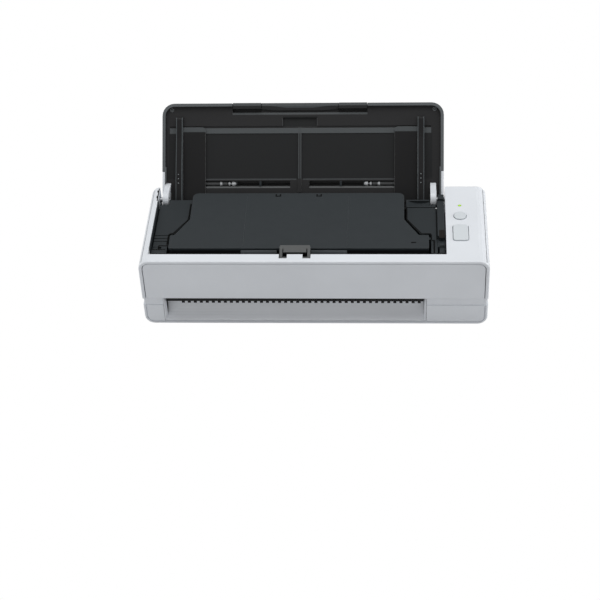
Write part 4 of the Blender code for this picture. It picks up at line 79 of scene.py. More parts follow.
CAMERA_PLACE = (0.0732, -1.0848 + MIDDLE_Y, 0.930)
CAMERA_PITCH = math.radians(40.96)
CAMERA_YAW = math.radians(-4.73)
CAMERA_ROLL = math.radians(2.99)
FOCAL_PIXELS = 1605.6
PICTURE_PIXELS = 600
SENSOR_WIDTH = 36


def add_camera():
    forward = Vector((math.sin(CAMERA_YAW) * math.cos(CAMERA_PITCH),
                      math.cos(CAMERA_YAW) * math.cos(CAMERA_PITCH), -math.sin(CAMERA_PITCH)))
    right = Vector((math.cos(CAMERA_YAW), -math.sin(CAMERA_YAW), 0))
    down = forward.cross(right)
    right_rolled = math.cos(CAMERA_ROLL) * right + math.sin(CAMERA_ROLL) * down
    down_rolled = -math.sin(CAMERA_ROLL) * right + math.cos(CAMERA_ROLL) * down
    data = bpy.data.cameras.new("camera")
    data.sensor_width = SENSOR_WIDTH
    data.lens = FOCAL_PIXELS * SENSOR_WIDTH / PICTURE_PIXELS
    data.clip_start = 0.05
    data.clip_end = 20
    camera = bpy.data.objects.new("camera", data)
    camera.matrix_world = Matrix.Translation(CAMERA_PLACE) @ Matrix(
        (right_rolled, -down_rolled, -forward)).transposed().to_4x4()
    bpy.context.scene.collection.objects.link(camera)
    bpy.context.scene.camera = camera


# ---------------------------------------------------------------- material nodes

class Maker:
    """A material's node tree with short calls for adding and joining nodes."""

    def __init__(self, name, material=None):
        self.material = material or bpy.data.materials.new(name)
        self.material.use_nodes = True
        self.tree = self.material.node_tree
        self.bsdf = self.tree.nodes["Principled BSDF"]
        self.coords = self.add("ShaderNodeTexCoord").outputs["Object"]

    @classmethod
    def of(cls, material):
        """A maker that goes on with a material that is already there."""
        return cls(material.name, material)

    def add(self, kind, **sockets):
        node = self.tree.nodes.new(kind)
        for key, value in sockets.items():
            self.put(node.inputs[key.replace("_", " ")], value)
        return node

    def put(self, socket, value):
        if isinstance(value, bpy.types.NodeSocket):
            self.tree.links.new(value, socket)
        else:
            socket.default_value = value

    def set(self, name, value):
        self.put(self.bsdf.inputs[name], value)

    def places(self, matrix):
        """The three coordinates in a frame of the object."""
        place, turn, _ = matrix.inverted().decompose()
        node = self.add("ShaderNodeMapping", Vector=self.coords)
        node.inputs["Location"].default_value = place
        node.inputs["Rotation"].default_value = turn.to_euler()
        return self.add("ShaderNodeSeparateXYZ", Vector=node.outputs["Vector"]).outputs

    def scaled(self, scale):
        """Object coordinates stretched by a scale for each axis."""
        node = self.add("ShaderNodeMapping", Vector=self.coords)
        node.inputs["Scale"].default_value = scale
        return node.outputs["Vector"]

    def noise(self, scale, detail=2.0, rough=0.5, vector=None):
        node = self.add("ShaderNodeTexNoise", Vector=vector or self.coords, Scale=scale,
                        Detail=detail, Roughness=rough)
        return node.outputs["Fac"]

    def cells(self, scale):
        node = self.add("ShaderNodeTexVoronoi", Vector=self.coords, Scale=scale)
        return node.outputs["Distance"]

    def math(self, kind, a, b=0.0):
        node = self.add("ShaderNodeMath")
        node.operation = kind
        self.put(node.inputs[0], a)
        self.put(node.inputs[1], b)
        return node.outputs[0]

    def times(self, a, b):
        return self.math("MULTIPLY", a, b)

    def apart(self, value, middle):
        """How far a value is from a middle, to either side."""
        return self.math("ABSOLUTE", self.math("ADD", value, -middle))

    def span(self, value, low, high, to_low, to_high):
        """A range of values mapped onto another, and held at its ends."""
        node = self.add("ShaderNodeMapRange", Value=value)
        node.clamp = True
        node.inputs["From Min"].default_value = low
        node.inputs["From Max"].default_value = high
        node.inputs["To Min"].default_value = to_low
        node.inputs["To Max"].default_value = to_high
        return node.outputs["Result"]

    def spread(self, noise, to_low, to_high):
        """The range that a noise mostly has, mapped onto another."""
        return self.span(noise, 0.3, 0.7, to_low, to_high)

    def between(self, value, low, high, soft=0.0003):
        """1 between two values, and 0 outside them."""
        return self.times(self.span(value, low - soft, low + soft, 0.0, 1.0),
                          self.span(value, high - soft, high + soft, 1.0, 0.0))

    def mix(self, factor, a, b):
        node = self.add("ShaderNodeMix")
        node.data_type = "RGBA"
        self.put(node.inputs["Factor"], factor)
        self.put(node.inputs[6], a)
        self.put(node.inputs[7], b)
        return node.outputs[2]

    def tint(self, coats):
        """Colours laid over the base colour, each as (mask, strength, colour)."""
        base = self.bsdf.inputs["Base Color"].links[0].from_socket
        for mask, strength, colour in coats:
            base = self.mix(self.times(mask, strength), base, colour)
        self.set("Base Color", base)

    def rounded(self, radius):
        node = self.add("ShaderNodeBevel", Radius=radius)
        node.samples = 6
        return node.outputs["Normal"]

    def edge(self, rounded):
        """1 on a rounded edge, 0 on a flat face."""
        flat = self.add("ShaderNodeNewGeometry").outputs["Normal"]
        dot = self.add("ShaderNodeVectorMath")
        dot.operation = "DOT_PRODUCT"
        self.put(dot.inputs[0], flat)
        self.put(dot.inputs[1], rounded)
        return self.span(dot.outputs["Value"], 1.0, 0.86, 0.0, 1.0)

    def bump(self, height, strength, distance, normal):
        node = self.add("ShaderNodeBump", Height=height, Strength=strength, Distance=distance,
                        Normal=normal)
        return node.outputs["Normal"]


def linear(red, green, blue):
    """A linear colour from sRGB values of 0 to 255."""
    def one(value):
        value = value / 255
        return value / 12.92 if value < 0.04045 else ((value + 0.055) / 1.055) ** 2.4
    return (one(red), one(green), one(blue), 1.0)


# ---------------------------------------------------------------- materials

WHITE = (0.745, 0.775, 0.815, 1.0)
# x of the fins' edges, where painted highlight lines run.
FIN_HIGHLIGHT_EDGES = (-0.1272, -0.1218, 0.0886, 0.0940)
SHELL_MIDDLE = -0.0141

# Bands along the rollers: painted shade in the middle, painted highlights for the paler collars,
# grey between.
ROLLER_SHADE = (0.0034, 0.0034, 0.0036, 1.0)
ROLLER_GREY = (0.085, 0.088, 0.09, 1.0)
ROLLER_HIGHLIGHT = (0.62, 0.64, 0.66, 1.0)
ROLLER_PAINTED_BANDS = (
    (0.0000, 0.0560, ROLLER_SHADE),
    (0.0575, 0.0610, ROLLER_HIGHLIGHT),
    (0.0615, 0.0640, ROLLER_HIGHLIGHT),
    (0.0650, 0.0700, ROLLER_GREY),
    (0.0698, 0.0716, ROLLER_HIGHLIGHT),
    (0.0720, 0.0870, ROLLER_GREY),
)


def plastic(name, colour, roughness, grain=2600, depth=0.00002, edge_light=0.25,
            round_edge=0.0004, specular=0.5):
    """Moulded plastic: spark-eroded grain, faint flow marks, and rounded edges that are smoother
    from wear and carry a mottled painted highlight.
    """
    m = Maker(name)
    rounded = m.rounded(round_edge)
    edge = m.edge(rounded)
    flow = m.noise(14, 3.0, 0.55)
    cloud = m.noise(95, 4.0, 0.6)
    specks = m.noise(grain, 3.0, 0.65)
    dimples = m.cells(grain * 0.7)
    darker = tuple(c * 0.96 for c in colour[:3]) + (1.0,)
    lighter = tuple(min(1.0, c * 1.04) for c in colour[:3]) + (1.0,)
    # Painted highlight: rounded edges take a lighter colour, as strong as edge_light; the same
    # mottled mask makes them less rough, like wear.
    painted_edge_highlight_colour = tuple(min(1.0, c + (1 - c) * edge_light * 0.5) for c in colour[:3]) + (1.0,)
    wear_and_painted_edge_highlight = m.times(edge, m.spread(cloud, 0.35, 1.0))
    base = m.mix(m.spread(flow, 0.0, 1.0), darker, lighter)
    base = m.mix(m.span(specks, 0.25, 0.75, 0.0, 0.35), base, darker)
    m.set("Base Color", m.mix(m.times(wear_and_painted_edge_highlight, edge_light), base, painted_edge_highlight_colour))
    rough = m.spread(cloud, roughness - 0.05, roughness + 0.05)
    m.set("Roughness", m.math("SUBTRACT", rough, m.times(wear_and_painted_edge_highlight, 0.10)))
    m.set("Specular IOR Level", specular)
    height = m.math("ADD", m.times(specks, 0.6), m.times(dimples, 0.4))
    m.set("Normal", m.bump(height, 0.35, depth, rounded))
    return m.material


def liner(name):
    """The chute's grained liner: painted shade darkens its sunk panel faces and the hollow in the
    middle; painted highlights lighten its raised border, bars, ledges, lips and the hollow's sides.
    """
    material = plastic(name, linear(43, 43, 44), 0.55, edge_light=0.34, specular=0.2)
    m = Maker.of(material)
    across, up, out = m.places(CHUTE)
    aside = m.apart(across, CHUTE_MIDDLE)
    sunk = m.span(out, -0.01215, -0.01205, 1.0, 0.0)
    # Masks for painted light: a highlight on the raised rim, shade on the sunk panels and the
    # pocket, highlights on the pocket sides, ledge, bars, slot line, lower slot lip and top slant.
    rim_highlight = m.span(out, -0.0100, -0.0094, 0.0, 1.0)
    panel_shade = m.times(m.between(up, 0.0190, 0.0600), m.between(aside, 0.0, 0.118))
    pocket_shade = m.times(m.between(up, 0.0660, 0.0750), m.between(aside, 0.0, 0.0153))
    pocket_side_highlight = m.times(m.between(up, 0.0668, 0.0737), m.between(aside, 0.0150, 0.0156, 0.0002))
    ledge_highlight = m.times(m.between(up, 0.0600, 0.0648), m.between(aside, 0.0, 0.117))
    bar_edge_highlight = m.between(aside, 0.0008, 0.0014, 0.0002)
    bar_face_highlight = m.times(m.between(aside, 0.0, 0.0010, 0.0002), 0.4)
    bar_highlight = m.times(m.between(up, 0.0194, 0.0655), m.math("ADD", bar_edge_highlight, bar_face_highlight))
    slot_line_highlight = m.times(m.between(up, 0.0184, 0.0196), m.between(aside, 0.003, 0.087))
    slot_lip_highlight = m.times(m.between(up, 0.0106, 0.0129), sunk)
    top_slant_highlight = m.times(m.between(up, 0.0762, 0.0786), sunk)
    # Painted shade and painted highlights laid over the liner's colour.
    m.tint((
        (panel_shade, 1.0, linear(34, 35, 36)),
        (pocket_shade, 1.0, linear(33, 34, 35)),
        (ledge_highlight, 0.9, linear(84, 88, 90)),
        (bar_highlight, 0.9, linear(78, 81, 83)),
        (slot_line_highlight, 0.85, linear(72, 75, 77)),
        (slot_lip_highlight, 0.9, linear(88, 90, 91)),
        (top_slant_highlight, 0.8, linear(74, 78, 80)),
        (pocket_side_highlight, 0.8, linear(92, 94, 96)),
        (rim_highlight, 0.9, linear(98, 102, 104)),
    ))
    return material


def guide_face(name):
    """The side guides' plastic, with painted highlights on the plates' slanted end and in thin
    lines along the fins' edges.
    """
    material = plastic(name, linear(27, 27, 28), 0.55, edge_light=0.6, round_edge=0.0006,
                       specular=0.2)
    m = Maker.of(material)
    across, up, out = m.places(CHUTE)
    on_plate = m.span(out, -0.0101, -0.0099, 1.0, 0.0)
    on_fin = m.span(out, -0.0096, -0.0092, 0.0, 1.0)
    # Painted highlights: the plates' slanted end, and thin lines along the fins' edges.
    coats = [(m.times(m.between(up, 0.0613, 0.0660), on_plate), 0.9, linear(80, 84, 86))]
    for place in FIN_HIGHLIGHT_EDGES:
        line = m.between(across, place - 0.00045, place + 0.00045, 0.0002)
        coats.append((m.times(line, on_fin), 0.8, linear(84, 90, 93)))
    m.tint(coats)
    return material


def chute_white(name):
    """White moulding whose inner face, behind the liner, lies in shade."""
    material = plastic(name, WHITE, 0.42)
    m = Maker.of(material)
    across, _, out = m.places(CHUTE)
    inner = m.times(m.between(out, -0.0174, -0.0126),
                    m.between(m.apart(across, SHELL_MIDDLE), 0.0, 0.1210))
    m.tint([(inner, 1.0, linear(22, 22, 23))])
    return material


def lipped(name):
    """The extension plates' plastic, with a paler edge strip that is a painted highlight and
    reaches lower in the middle.
    """
    material = plastic(name, linear(36, 37, 38), 0.55, edge_light=0.34, specular=0.2)
    m = Maker.of(material)
    across, up, _ = m.places(CHUTE)
    # Painted highlight on the lip; it reaches lower in the middle, as round a finger scoop.
    scoop = m.span(m.apart(across, CHUTE_MIDDLE), 0.0120, 0.0260, 0.0018, 0.0)
    lip_highlight = m.span(m.math("ADD", up, scoop), 0.0844, 0.0850, 0.0, 1.0)
    m.tint([(lip_highlight, 0.8, linear(72, 76, 78))])
    return material


def stepped_roller(name):
    """Grey rollers whose paler collars are painted highlights, with painted shade in the middle."""
    material = plastic(name, linear(26, 26, 27), 0.62, grain=1800, specular=0.2)
    m = Maker.of(material)
    across = m.add("ShaderNodeSeparateXYZ", Vector=m.coords).outputs["X"]
    aside = m.apart(across, CHUTE_MIDDLE)
    m.tint([(m.between(aside, low, high, 0.0005), 1.0, colour)
            for low, high, colour in ROLLER_PAINTED_BANDS])
    return material


def lens(name):
    """A lit green lens in clear plastic."""
    m = Maker(name)
    glow = m.noise(900, 2.0, 0.5)
    m.set("Base Color", m.mix(glow, linear(120, 175, 20), linear(185, 225, 60)))
    m.set("Roughness", 0.18)
    m.set("Emission Color", m.mix(glow, linear(120, 175, 20), linear(190, 225, 60)))
    m.set("Emission Strength", 0.45)
    m.set("Normal", m.rounded(0.0003))
    return m.material


def board(name):
    """A printed board: solder mask with tracks that show faintly below it."""
    m = Maker(name)
    tracks = m.add("ShaderNodeTexBrick", Vector=m.coords, Scale=90.0, Mortar_Size=0.06)
    mask = m.mix(m.noise(60, 3.0, 0.5), linear(14, 72, 44), linear(22, 92, 58))
    m.set("Base Color", m.mix(m.times(tracks.outputs["Fac"], 0.6), mask, linear(48, 128, 84)))
    m.set("Roughness", m.spread(m.noise(300, 2.0, 0.5), 0.25, 0.4))
    m.set("Normal", m.bump(tracks.outputs["Fac"], 0.3, 0.00005, m.rounded(0.0002)))
    return m.material


def glass(name):
    """Dark sensor glass with faint dust."""
    m = Maker(name)
    dust = m.noise(1400, 4.0, 0.7)
    m.set("Base Color", m.mix(m.span(dust, 0.55, 0.8, 0.0, 0.4), linear(14, 18, 22),
                              linear(90, 96, 100)))
    m.set("Roughness", m.span(dust, 0.5, 0.8, 0.05, 0.3))
    m.set("Coat Weight", 0.6)
    m.set("Normal", m.bump(dust, 0.05, 0.00001, m.rounded(0.0003)))
    return m.material


def rubber(name):
    """Ground rubber with fine grooves round the roller and pale paper dust."""
    m = Maker(name)
    grooves = m.add("ShaderNodeTexWave", Vector=m.coords, Scale=420.0, Distortion=0.4)
    grooves.bands_direction = "X"
    dust = m.noise(700, 4.0, 0.7)
    m.set("Base Color", m.mix(m.span(dust, 0.45, 0.8, 0.0, 0.4), linear(34, 35, 36),
                              linear(96, 96, 94)))
    m.set("Roughness", m.spread(dust, 0.7, 0.9))
    height = m.math("ADD", grooves.outputs["Fac"], m.times(dust, 0.5))
    m.set("Normal", m.bump(height, 0.4, 0.00008, m.rounded(0.0003)))
    return m.material


def steel(name):
    """Rolled steel with long fine scratches."""
    m = Maker(name)
    lines = m.noise(900, 3.0, 0.6, m.scaled((0.03, 1, 1)))
    m.set("Base Color", m.mix(m.noise(60, 3.0, 0.5), linear(150, 152, 156),
                              linear(186, 188, 190)))
    m.set("Metallic", 1.0)
    m.set("Roughness", m.spread(lines, 0.22, 0.42))
    m.set("Normal", m.bump(lines, 0.25, 0.00004, m.rounded(0.0003)))
    return m.material


PLASTICS = {
    "white_plastic": dict(colour=WHITE, roughness=0.42),
    "black_plastic": dict(colour=linear(33, 33, 34), roughness=0.55, edge_light=0.34,
                          specular=0.2),
    # Pale: a painted highlight on the small round marks of the chute and the dots on the guides.
    "highlight_mark_plastic": dict(colour=linear(122, 127, 130), roughness=0.5, specular=0.3),
    # A lighter copy of the white plastic: painted light on the return ramp.
    "ramp_painted_light_plastic": dict(colour=(0.80, 0.825, 0.865, 1.0), roughness=0.42),
    "dark_plastic": dict(colour=linear(44, 49, 52), roughness=0.50, edge_light=0.30,
                         specular=0.2),
    "bracket_grey_plastic": dict(colour=linear(86, 88, 88), roughness=0.45, specular=0.3),
    "button_plastic": dict(colour=(0.64, 0.68, 0.71, 1.0), roughness=0.35),
    "gear_plastic": dict(colour=linear(214, 208, 190), roughness=0.38),
    "chip_plastic": dict(colour=linear(30, 30, 32), roughness=0.40, grain=4000),
    "shade_plastic": dict(colour=linear(9, 9, 9), roughness=0.7, edge_light=0.05, specular=0.1),
    "pale_line_plastic": dict(colour=linear(54, 59, 62), roughness=0.5, specular=0.2),
    # Paler than the cover: painted light on the front faces of the cover's pads, which face
    # forwards and down into shade.
    "pad_painted_light_plastic": dict(colour=linear(112, 117, 120), roughness=0.5, specular=0.2),
    "brown_pad": dict(colour=linear(36, 33, 31), roughness=0.8, grain=1500, depth=0.00005,
                      specular=0.1),
}
OTHERS = {
    "guide_plastic": guide_face,
    "shell_plastic": chute_white,
    "extension_plastic": lipped,
    "liner_plastic": liner,
    "roller_grey_plastic": stepped_roller,
    "status_lens_plastic": lens,
    "circuit_board": board,
    "sensor_glass": glass,
    "roller_rubber": rubber,
    "steel": steel,
}
OWN_MATERIALS = {
    "chute_liner": "liner_plastic",
    "guide_left": "guide_plastic",
    "guide_right": "guide_plastic",
    "return_ramp": "ramp_painted_light_plastic",
    "chute_shell": "shell_plastic",
    "extension_outer": "extension_plastic",
    "extension_inner": "extension_plastic",
}


def make_materials():
    made = {name: plastic(name, **values) for name, values in PLASTICS.items()}
    made.update({name: make(name) for name, make in OTHERS.items()})
    return made


def dress_nodes(made):
    """Each node's slots take the material of their own name, but for the nodes listed above."""
    for name, node in NODES.items():
        for slot in node.material_slots:
            slot.material = made[OWN_MATERIALS.get(name, slot.material.name.split(".")[0])]


# ---------------------------------------------------------------- small forms

class Form:
    """Small closed forms in millimetres, in a frame of the object, gathered into one piece."""

    def __init__(self, frame=BODY):
        self.mesh = bmesh.new()
        self.place = frame @ Matrix.Scale(0.001, 4)

    def bevel(self, edges, round_by, steps):
        bmesh.ops.bevel(self.mesh, geom=list(edges), offset=round_by, segments=steps,
                        profile=0.5, affect="EDGES")

    def wall(self, one, two):
        """Faces between two loops of vertices."""
        for i in range(len(one)):
            k = (i + 1) % len(one)
            self.mesh.faces.new((one[i], one[k], two[k], two[i]))

    def loft(self, first, last):
        """A closed form between two loops of points. Gives their vertices and the last face."""
        one = [self.mesh.verts.new(point) for point in first]
        two = [self.mesh.verts.new(point) for point in last]
        self.mesh.faces.new(one[::-1])
        lid = self.mesh.faces.new(two)
        self.wall(one, two)
        return one, two, lid

    def circle(self, centre, radius, height, sides):
        """A loop of vertices round an upright axis."""
        turns = [2 * math.pi * i / sides for i in range(sides)]
        return [self.mesh.verts.new((centre[0] + radius * math.cos(turn),
                                     centre[1] + radius * math.sin(turn),
                                     centre[2] + height)) for turn in turns]

    def block(self, low, high, round_by=0.3, steps=2):
        """A block with rounded edges."""
        corners = bmesh.ops.create_cube(self.mesh, size=1)["verts"]
        for corner in corners:
            corner.co = [a + (b - a) * (c + 0.5) for a, b, c in zip(low, high, corner.co)]
        edges = dict.fromkeys(edge for corner in corners for edge in corner.link_edges)
        self.bevel(edges, round_by, steps)

    def blocks(self, rows):
        """Blocks given as (lowest corner, highest corner, rounding)."""
        for low, high, round_by in rows:
            self.block(low, high, round_by)

    def prism(self, outline, low, high, round_by, steps=2):
        """An outline in the frame's plane, raised from low to high, with rounded top edges."""
        _, _, lid = self.loft([(x, y, low) for x, y in outline],
                              [(x, y, high) for x, y in outline])
        self.bevel(lid.edges, round_by, steps)

    def beam(self, outline, left, right, round_by):
        """An outline across X, drawn from left to right, with rounded long edges."""
        one, two, _ = self.loft([(left, a, b) for a, b in outline],
                                [(right, a, b) for a, b in outline])
        self.bevel([self.mesh.edges.get(pair) for pair in zip(one, two)], round_by, 2)

    def ribbon(self, points, width, low, high):
        """A strip along a line of points, to its left, raised from low to high."""
        line = [Vector(p) for p in points]
        aside = []
        for i, point in enumerate(line):
            before = (point - line[max(i - 1, 0)]).normalized()
            after = (line[min(i + 1, len(line) - 1)] - point).normalized()
            along = (before + after).normalized()
            reach = width / max(0.5, along.dot(after if after.length else before))
            aside.append(point + Vector((-along.y, along.x)) * reach)
        self.prism([tuple(p) for p in line + aside[::-1]], low, high, 0.05, 1)

    def lathe(self, centre, profile, sides):
        """A profile of (radius, height) turned round an upright axis, closed at both ends."""
        circles = [self.circle(centre, radius, height, sides) for radius, height in profile]
        self.mesh.faces.new(circles[0][::-1])
        self.mesh.faces.new(circles[-1])
        for lower, upper in zip(circles, circles[1:]):
            self.wall(lower, upper)

    def dome(self, centre, radius, height):
        """A low round bump on a face."""
        turns = [math.radians(a) for a in (0, 22, 44, 66, 84)]
        self.lathe(centre, [(radius, -0.1)] + [
            (radius * math.cos(t), height * math.sin(t)) for t in turns], 20)

    def ring(self, centre, radius, thick, height):
        """A raised round bead on a face."""
        beads = [2 * math.pi * j / 8 for j in range(8)]
        circles = [self.circle(centre, radius + thick * math.cos(bead),
                               height * math.sin(bead), 36) for bead in beads]
        for one, two in zip(circles, circles[1:] + circles[:1]):
            self.wall(one, two)

    def screw(self, centre, radius):
        """A pan head with a cross on it."""
        x, y, z = centre
        self.lathe(centre, [(radius, -0.2), (radius, 0.35 * radius), (0.86 * radius, 0.58 * radius),
                            (0.62 * radius, 0.66 * radius), (0.30 * radius, 0.66 * radius),
                            (0.22 * radius, 0.30 * radius)], 28)
        reach, half = 0.56 * radius, 0.12 * radius
        low, top = 0.20 * radius, 0.70 * radius
        for wide, deep in ((reach, half), (half, reach)):
            self.block((x - wide, y - deep, z + low), (x + wide, y + deep, z + top), 0.05, 1)

    def piece(self, name, body, finish, slot):
        """The forms as one named piece that rides on a body."""
        bmesh.ops.recalc_face_normals(self.mesh, faces=self.mesh.faces)
        mesh = bpy.data.meshes.new(name)
        self.mesh.to_mesh(mesh)
        self.mesh.free()
        mesh.transform(self.place)
        mesh.materials.append(MATERIALS[finish])
        for face in mesh.polygons:
            face.use_smooth = True
        mesh.set_sharp_from_angle(angle=math.radians(35))
        piece = bpy.data.objects.new(name, mesh)
        bpy.context.scene.collection.objects.link(piece)
        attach(piece, body)


# ---------------------------------------------------------------- details on the chute

FACE = -12.0
FIN_LOW_TOP = -5.0
SLOT_LOW, SLOT_HIGH = 12.7, 17.7
WIDE_STAYS = (-51.9, 20.1)
THIN_STAYS = (-73.2, 40.6)
CORNER_MARKS = (-131.8, 103.5)
CORNER_MARK_HEIGHT = 81.2
POCKET_BRIDGE = ((73.9, -13.6), (79.0, -13.6), (79.0, -13.0), (76.6, FACE), (73.9, FACE))
POCKET_SIDES = (-32.1, -1.1)
GUIDE_DOTS = (("left", "guide_left_body", -124.9), ("right", "guide_right_body", 91.3))
GUIDE_DOT_PLACES = (23.0, 19.1, 15.2)


def add_chute_details():
    marks = Form(CHUTE)
    for x in CORNER_MARKS:
        marks.ring((x, CORNER_MARK_HEIGHT, FACE), 1.5, 0.22, 0.2)
        marks.dome((x, CORNER_MARK_HEIGHT, FACE), 0.55, 0.22)
    marks.piece("chute_corner_marks", "chute", "highlight_mark_plastic", "black_plastic")

    bridge = Form(CHUTE)
    bridge.beam(POCKET_BRIDGE, *POCKET_SIDES, 0.1)
    bridge.piece("pocket_bridge", "chute", "liner_plastic", "black_plastic")

    stays = Form(CHUTE)
    for x in WIDE_STAYS:
        stays.block((x - 0.9, SLOT_LOW, -12.6), (x + 0.9, SLOT_HIGH, -12.1), 0.15)
    for x in THIN_STAYS:
        stays.block((x - 0.3, SLOT_LOW, -12.6), (x + 0.3, SLOT_HIGH, -12.2), 0.1)
    stays.piece("chute_slot_stays", "chute", "dark_plastic", "black_plastic")

    tick = Form(CHUTE)
    tick.block((-17.6, 79.2, -14.1), (-16.8, 80.6, -13.4), 0.12)
    tick.piece("extension_tick", "extension_inner_body", "dark_plastic", "black_plastic")

    for side, body, x in GUIDE_DOTS:
        dots = Form(CHUTE)
        for place in GUIDE_DOT_PLACES:
            dots.dome((x, place, FIN_LOW_TOP), 0.55, 0.32)
        dots.piece("guide_dots_" + side, body, "highlight_mark_plastic", "black_plastic")


# ---------------------------------------------------------------- details on the inner cover

PARTING_LINES = (-61.0, 28.0)
PARTING_HALF = 0.25
PARTING_NEAR, PARTING_FAR = -28.5, 37.0
PARTING_LEAN = 0.999
# Rear notches of the cover, and the parts of the dark blocks that paint shade into them.
REAR_NOTCHES = (-34.0, 2.0)
REAR_NOTCH_AT = 38.6
REAR_NOTCH_SHADE_PARTS = ((-2.4, -1.3, 37.2, 40.0), (1.3, 2.4, 37.2, 40.0), (-2.4, 2.4, 36.7, 37.6))
FRONT_PADS = ((-62.5, -31.7), (-2.4, 28.2))


def cover_top(y):
    """Height of the inner cover's slanted top."""
    return 71.71 + 0.0556 * y


def add_cover_details():
    lines = Form()
    for x in PARTING_LINES:
        left, right = x - PARTING_HALF, x + PARTING_HALF
        near, far = cover_top(PARTING_NEAR), cover_top(PARTING_FAR)
        points = [(left, PARTING_NEAR, near), (right, PARTING_NEAR, near),
                  (right, PARTING_FAR, far), (left, PARTING_FAR, far)]
        lines.loft([(a, b, c - 0.05) for a, b, c in points],
                   [(a * PARTING_LEAN, b, c + 0.06) for a, b, c in points])
    lines.piece("cover_parting_lines", "cover", "pale_line_plastic", "dark_plastic")

    # Dark blocks that paint shade into the two rear notches and into a slot near the right front.
    marks = Form()
    top = cover_top(REAR_NOTCH_AT)
    for x in REAR_NOTCHES:
        for left, right, near, far in REAR_NOTCH_SHADE_PARTS:
            marks.block((x + left, near, top - 0.3), (x + right, far, top + 0.2), 0.1, 1)
    marks.block((82.4, -24.0, cover_top(-24.0) - 0.3), (86.6, -22.6, cover_top(-22.6) + 0.12),
                0.1, 1)
    marks.piece("cover_notch_shades", "cover", "shade_plastic", "dark_plastic")

    pads = Form()
    for left, right in FRONT_PADS:
        pads.block((left, -31.4, 63.4), (right, -30.7, 67.9), 0.3)
        for rib in (left + 2.0, right - 2.6):
            pads.block((rib, -31.6, 64.4), (rib + 0.6, -31.3, 66.9), 0.12, 1)
    pads.piece("cover_front_pads", "cover", "pad_painted_light_plastic", "dark_plastic")


# ---------------------------------------------------------------- details in the well

LEFT_BRACKET = (
    ((-139.2, -33.0, 62.5), (-131.6, -23.9, 64.8), 0.35),
    ((-139.2, -27.2, 64.5), (-133.4, -23.9, 65.9), 0.3),
)
COMB_LEFT, COMB_RIGHT = -139.6, -127.2
COMB_NEAR, COMB_NOTCH, COMB_FAR = -32.9, -29.0, -28.2
COMB_PITCH, COMB_TOOTH, COMB_NOTCH_END = 2.07, 1.25, 2.05
COMB_TEETH = 6
RIM_HINGE = ((32.0, 36.4, -141.3), (36.0, 39.2, -142.0), (39.0, 44.6, -141.3),
             (44.4, 46.8, -142.2), (46.6, 49.6, -141.3))
RIGHT_BLOCKS = (
    ((99.3, -32.6, 65.9), (101.4, -16.4, 66.55), 0.2),
    ((102.6, -32.8, 65.9), (104.9, -14.8, 66.45), 0.2),
    ((93.4, -13.0, 62.6), (99.2, -9.9, 65.2), 0.3),
    ((106.4, -31.2, 61.6), (111.0, -24.0, 65.6), 0.35),
    ((107.4, -29.8, 65.4), (110.0, -25.2, 65.9), 0.2),
    ((106.5, -22.6, 65.9), (111.0, -14.9, 66.5), 0.25),
)
WALL_RIBS = 9
WALL_RIB_START, WALL_RIB_PITCH, WALL_RIB_WIDTH = -30.0, 7.4, 0.9
SHADE_STRIP_TOP = 66.3
# Thin dark strips that paint shade in the well: along steps, between blocks, and along the gaps
# between the cover and the wings.
SHADE_BARS = (
    ((-133.9, -23.2), (-126.5, -22.1)),
    ((-134.2, -27.6), (-133.1, -22.5)),
    ((-139.3, -28.1), (-127.4, -27.2)),
    ((101.4, -32.8), (102.6, -15.0)),
    ((99.4, -16.2), (102.0, -15.0)),
    ((106.4, -16.6), (111.0, -15.6)),
    ((106.4, -23.6), (111.0, -22.6)),
)
LEFT_GAP_SHADE = ((-126.35, -21.0), (-126.35, -8.2), (-125.2, -6.6), (-122.9, -6.4), (-111.9, 12.2),
             (-111.2, 14.1), (-111.2, 36.0))
RIGHT_GAP_SHADE = ((78.4, 29.6), (78.4, 14.1), (79.1, 12.2), (90.9, -6.4), (98.5, -6.7),
              (99.35, -8.2), (99.35, -14.6))


def comb_outline():
    """The left comb, seen from above, with its teeth to the back."""
    outline = [(COMB_LEFT, COMB_NEAR), (COMB_RIGHT, COMB_NEAR)]
    for i in range(COMB_TEETH):
        x = COMB_RIGHT - COMB_PITCH * i
        outline += [(x, COMB_FAR), (x - COMB_TOOTH, COMB_FAR), (x - COMB_TOOTH, COMB_NOTCH),
                    (x - COMB_NOTCH_END, COMB_NOTCH)]
    return outline + [(COMB_LEFT, COMB_FAR)]


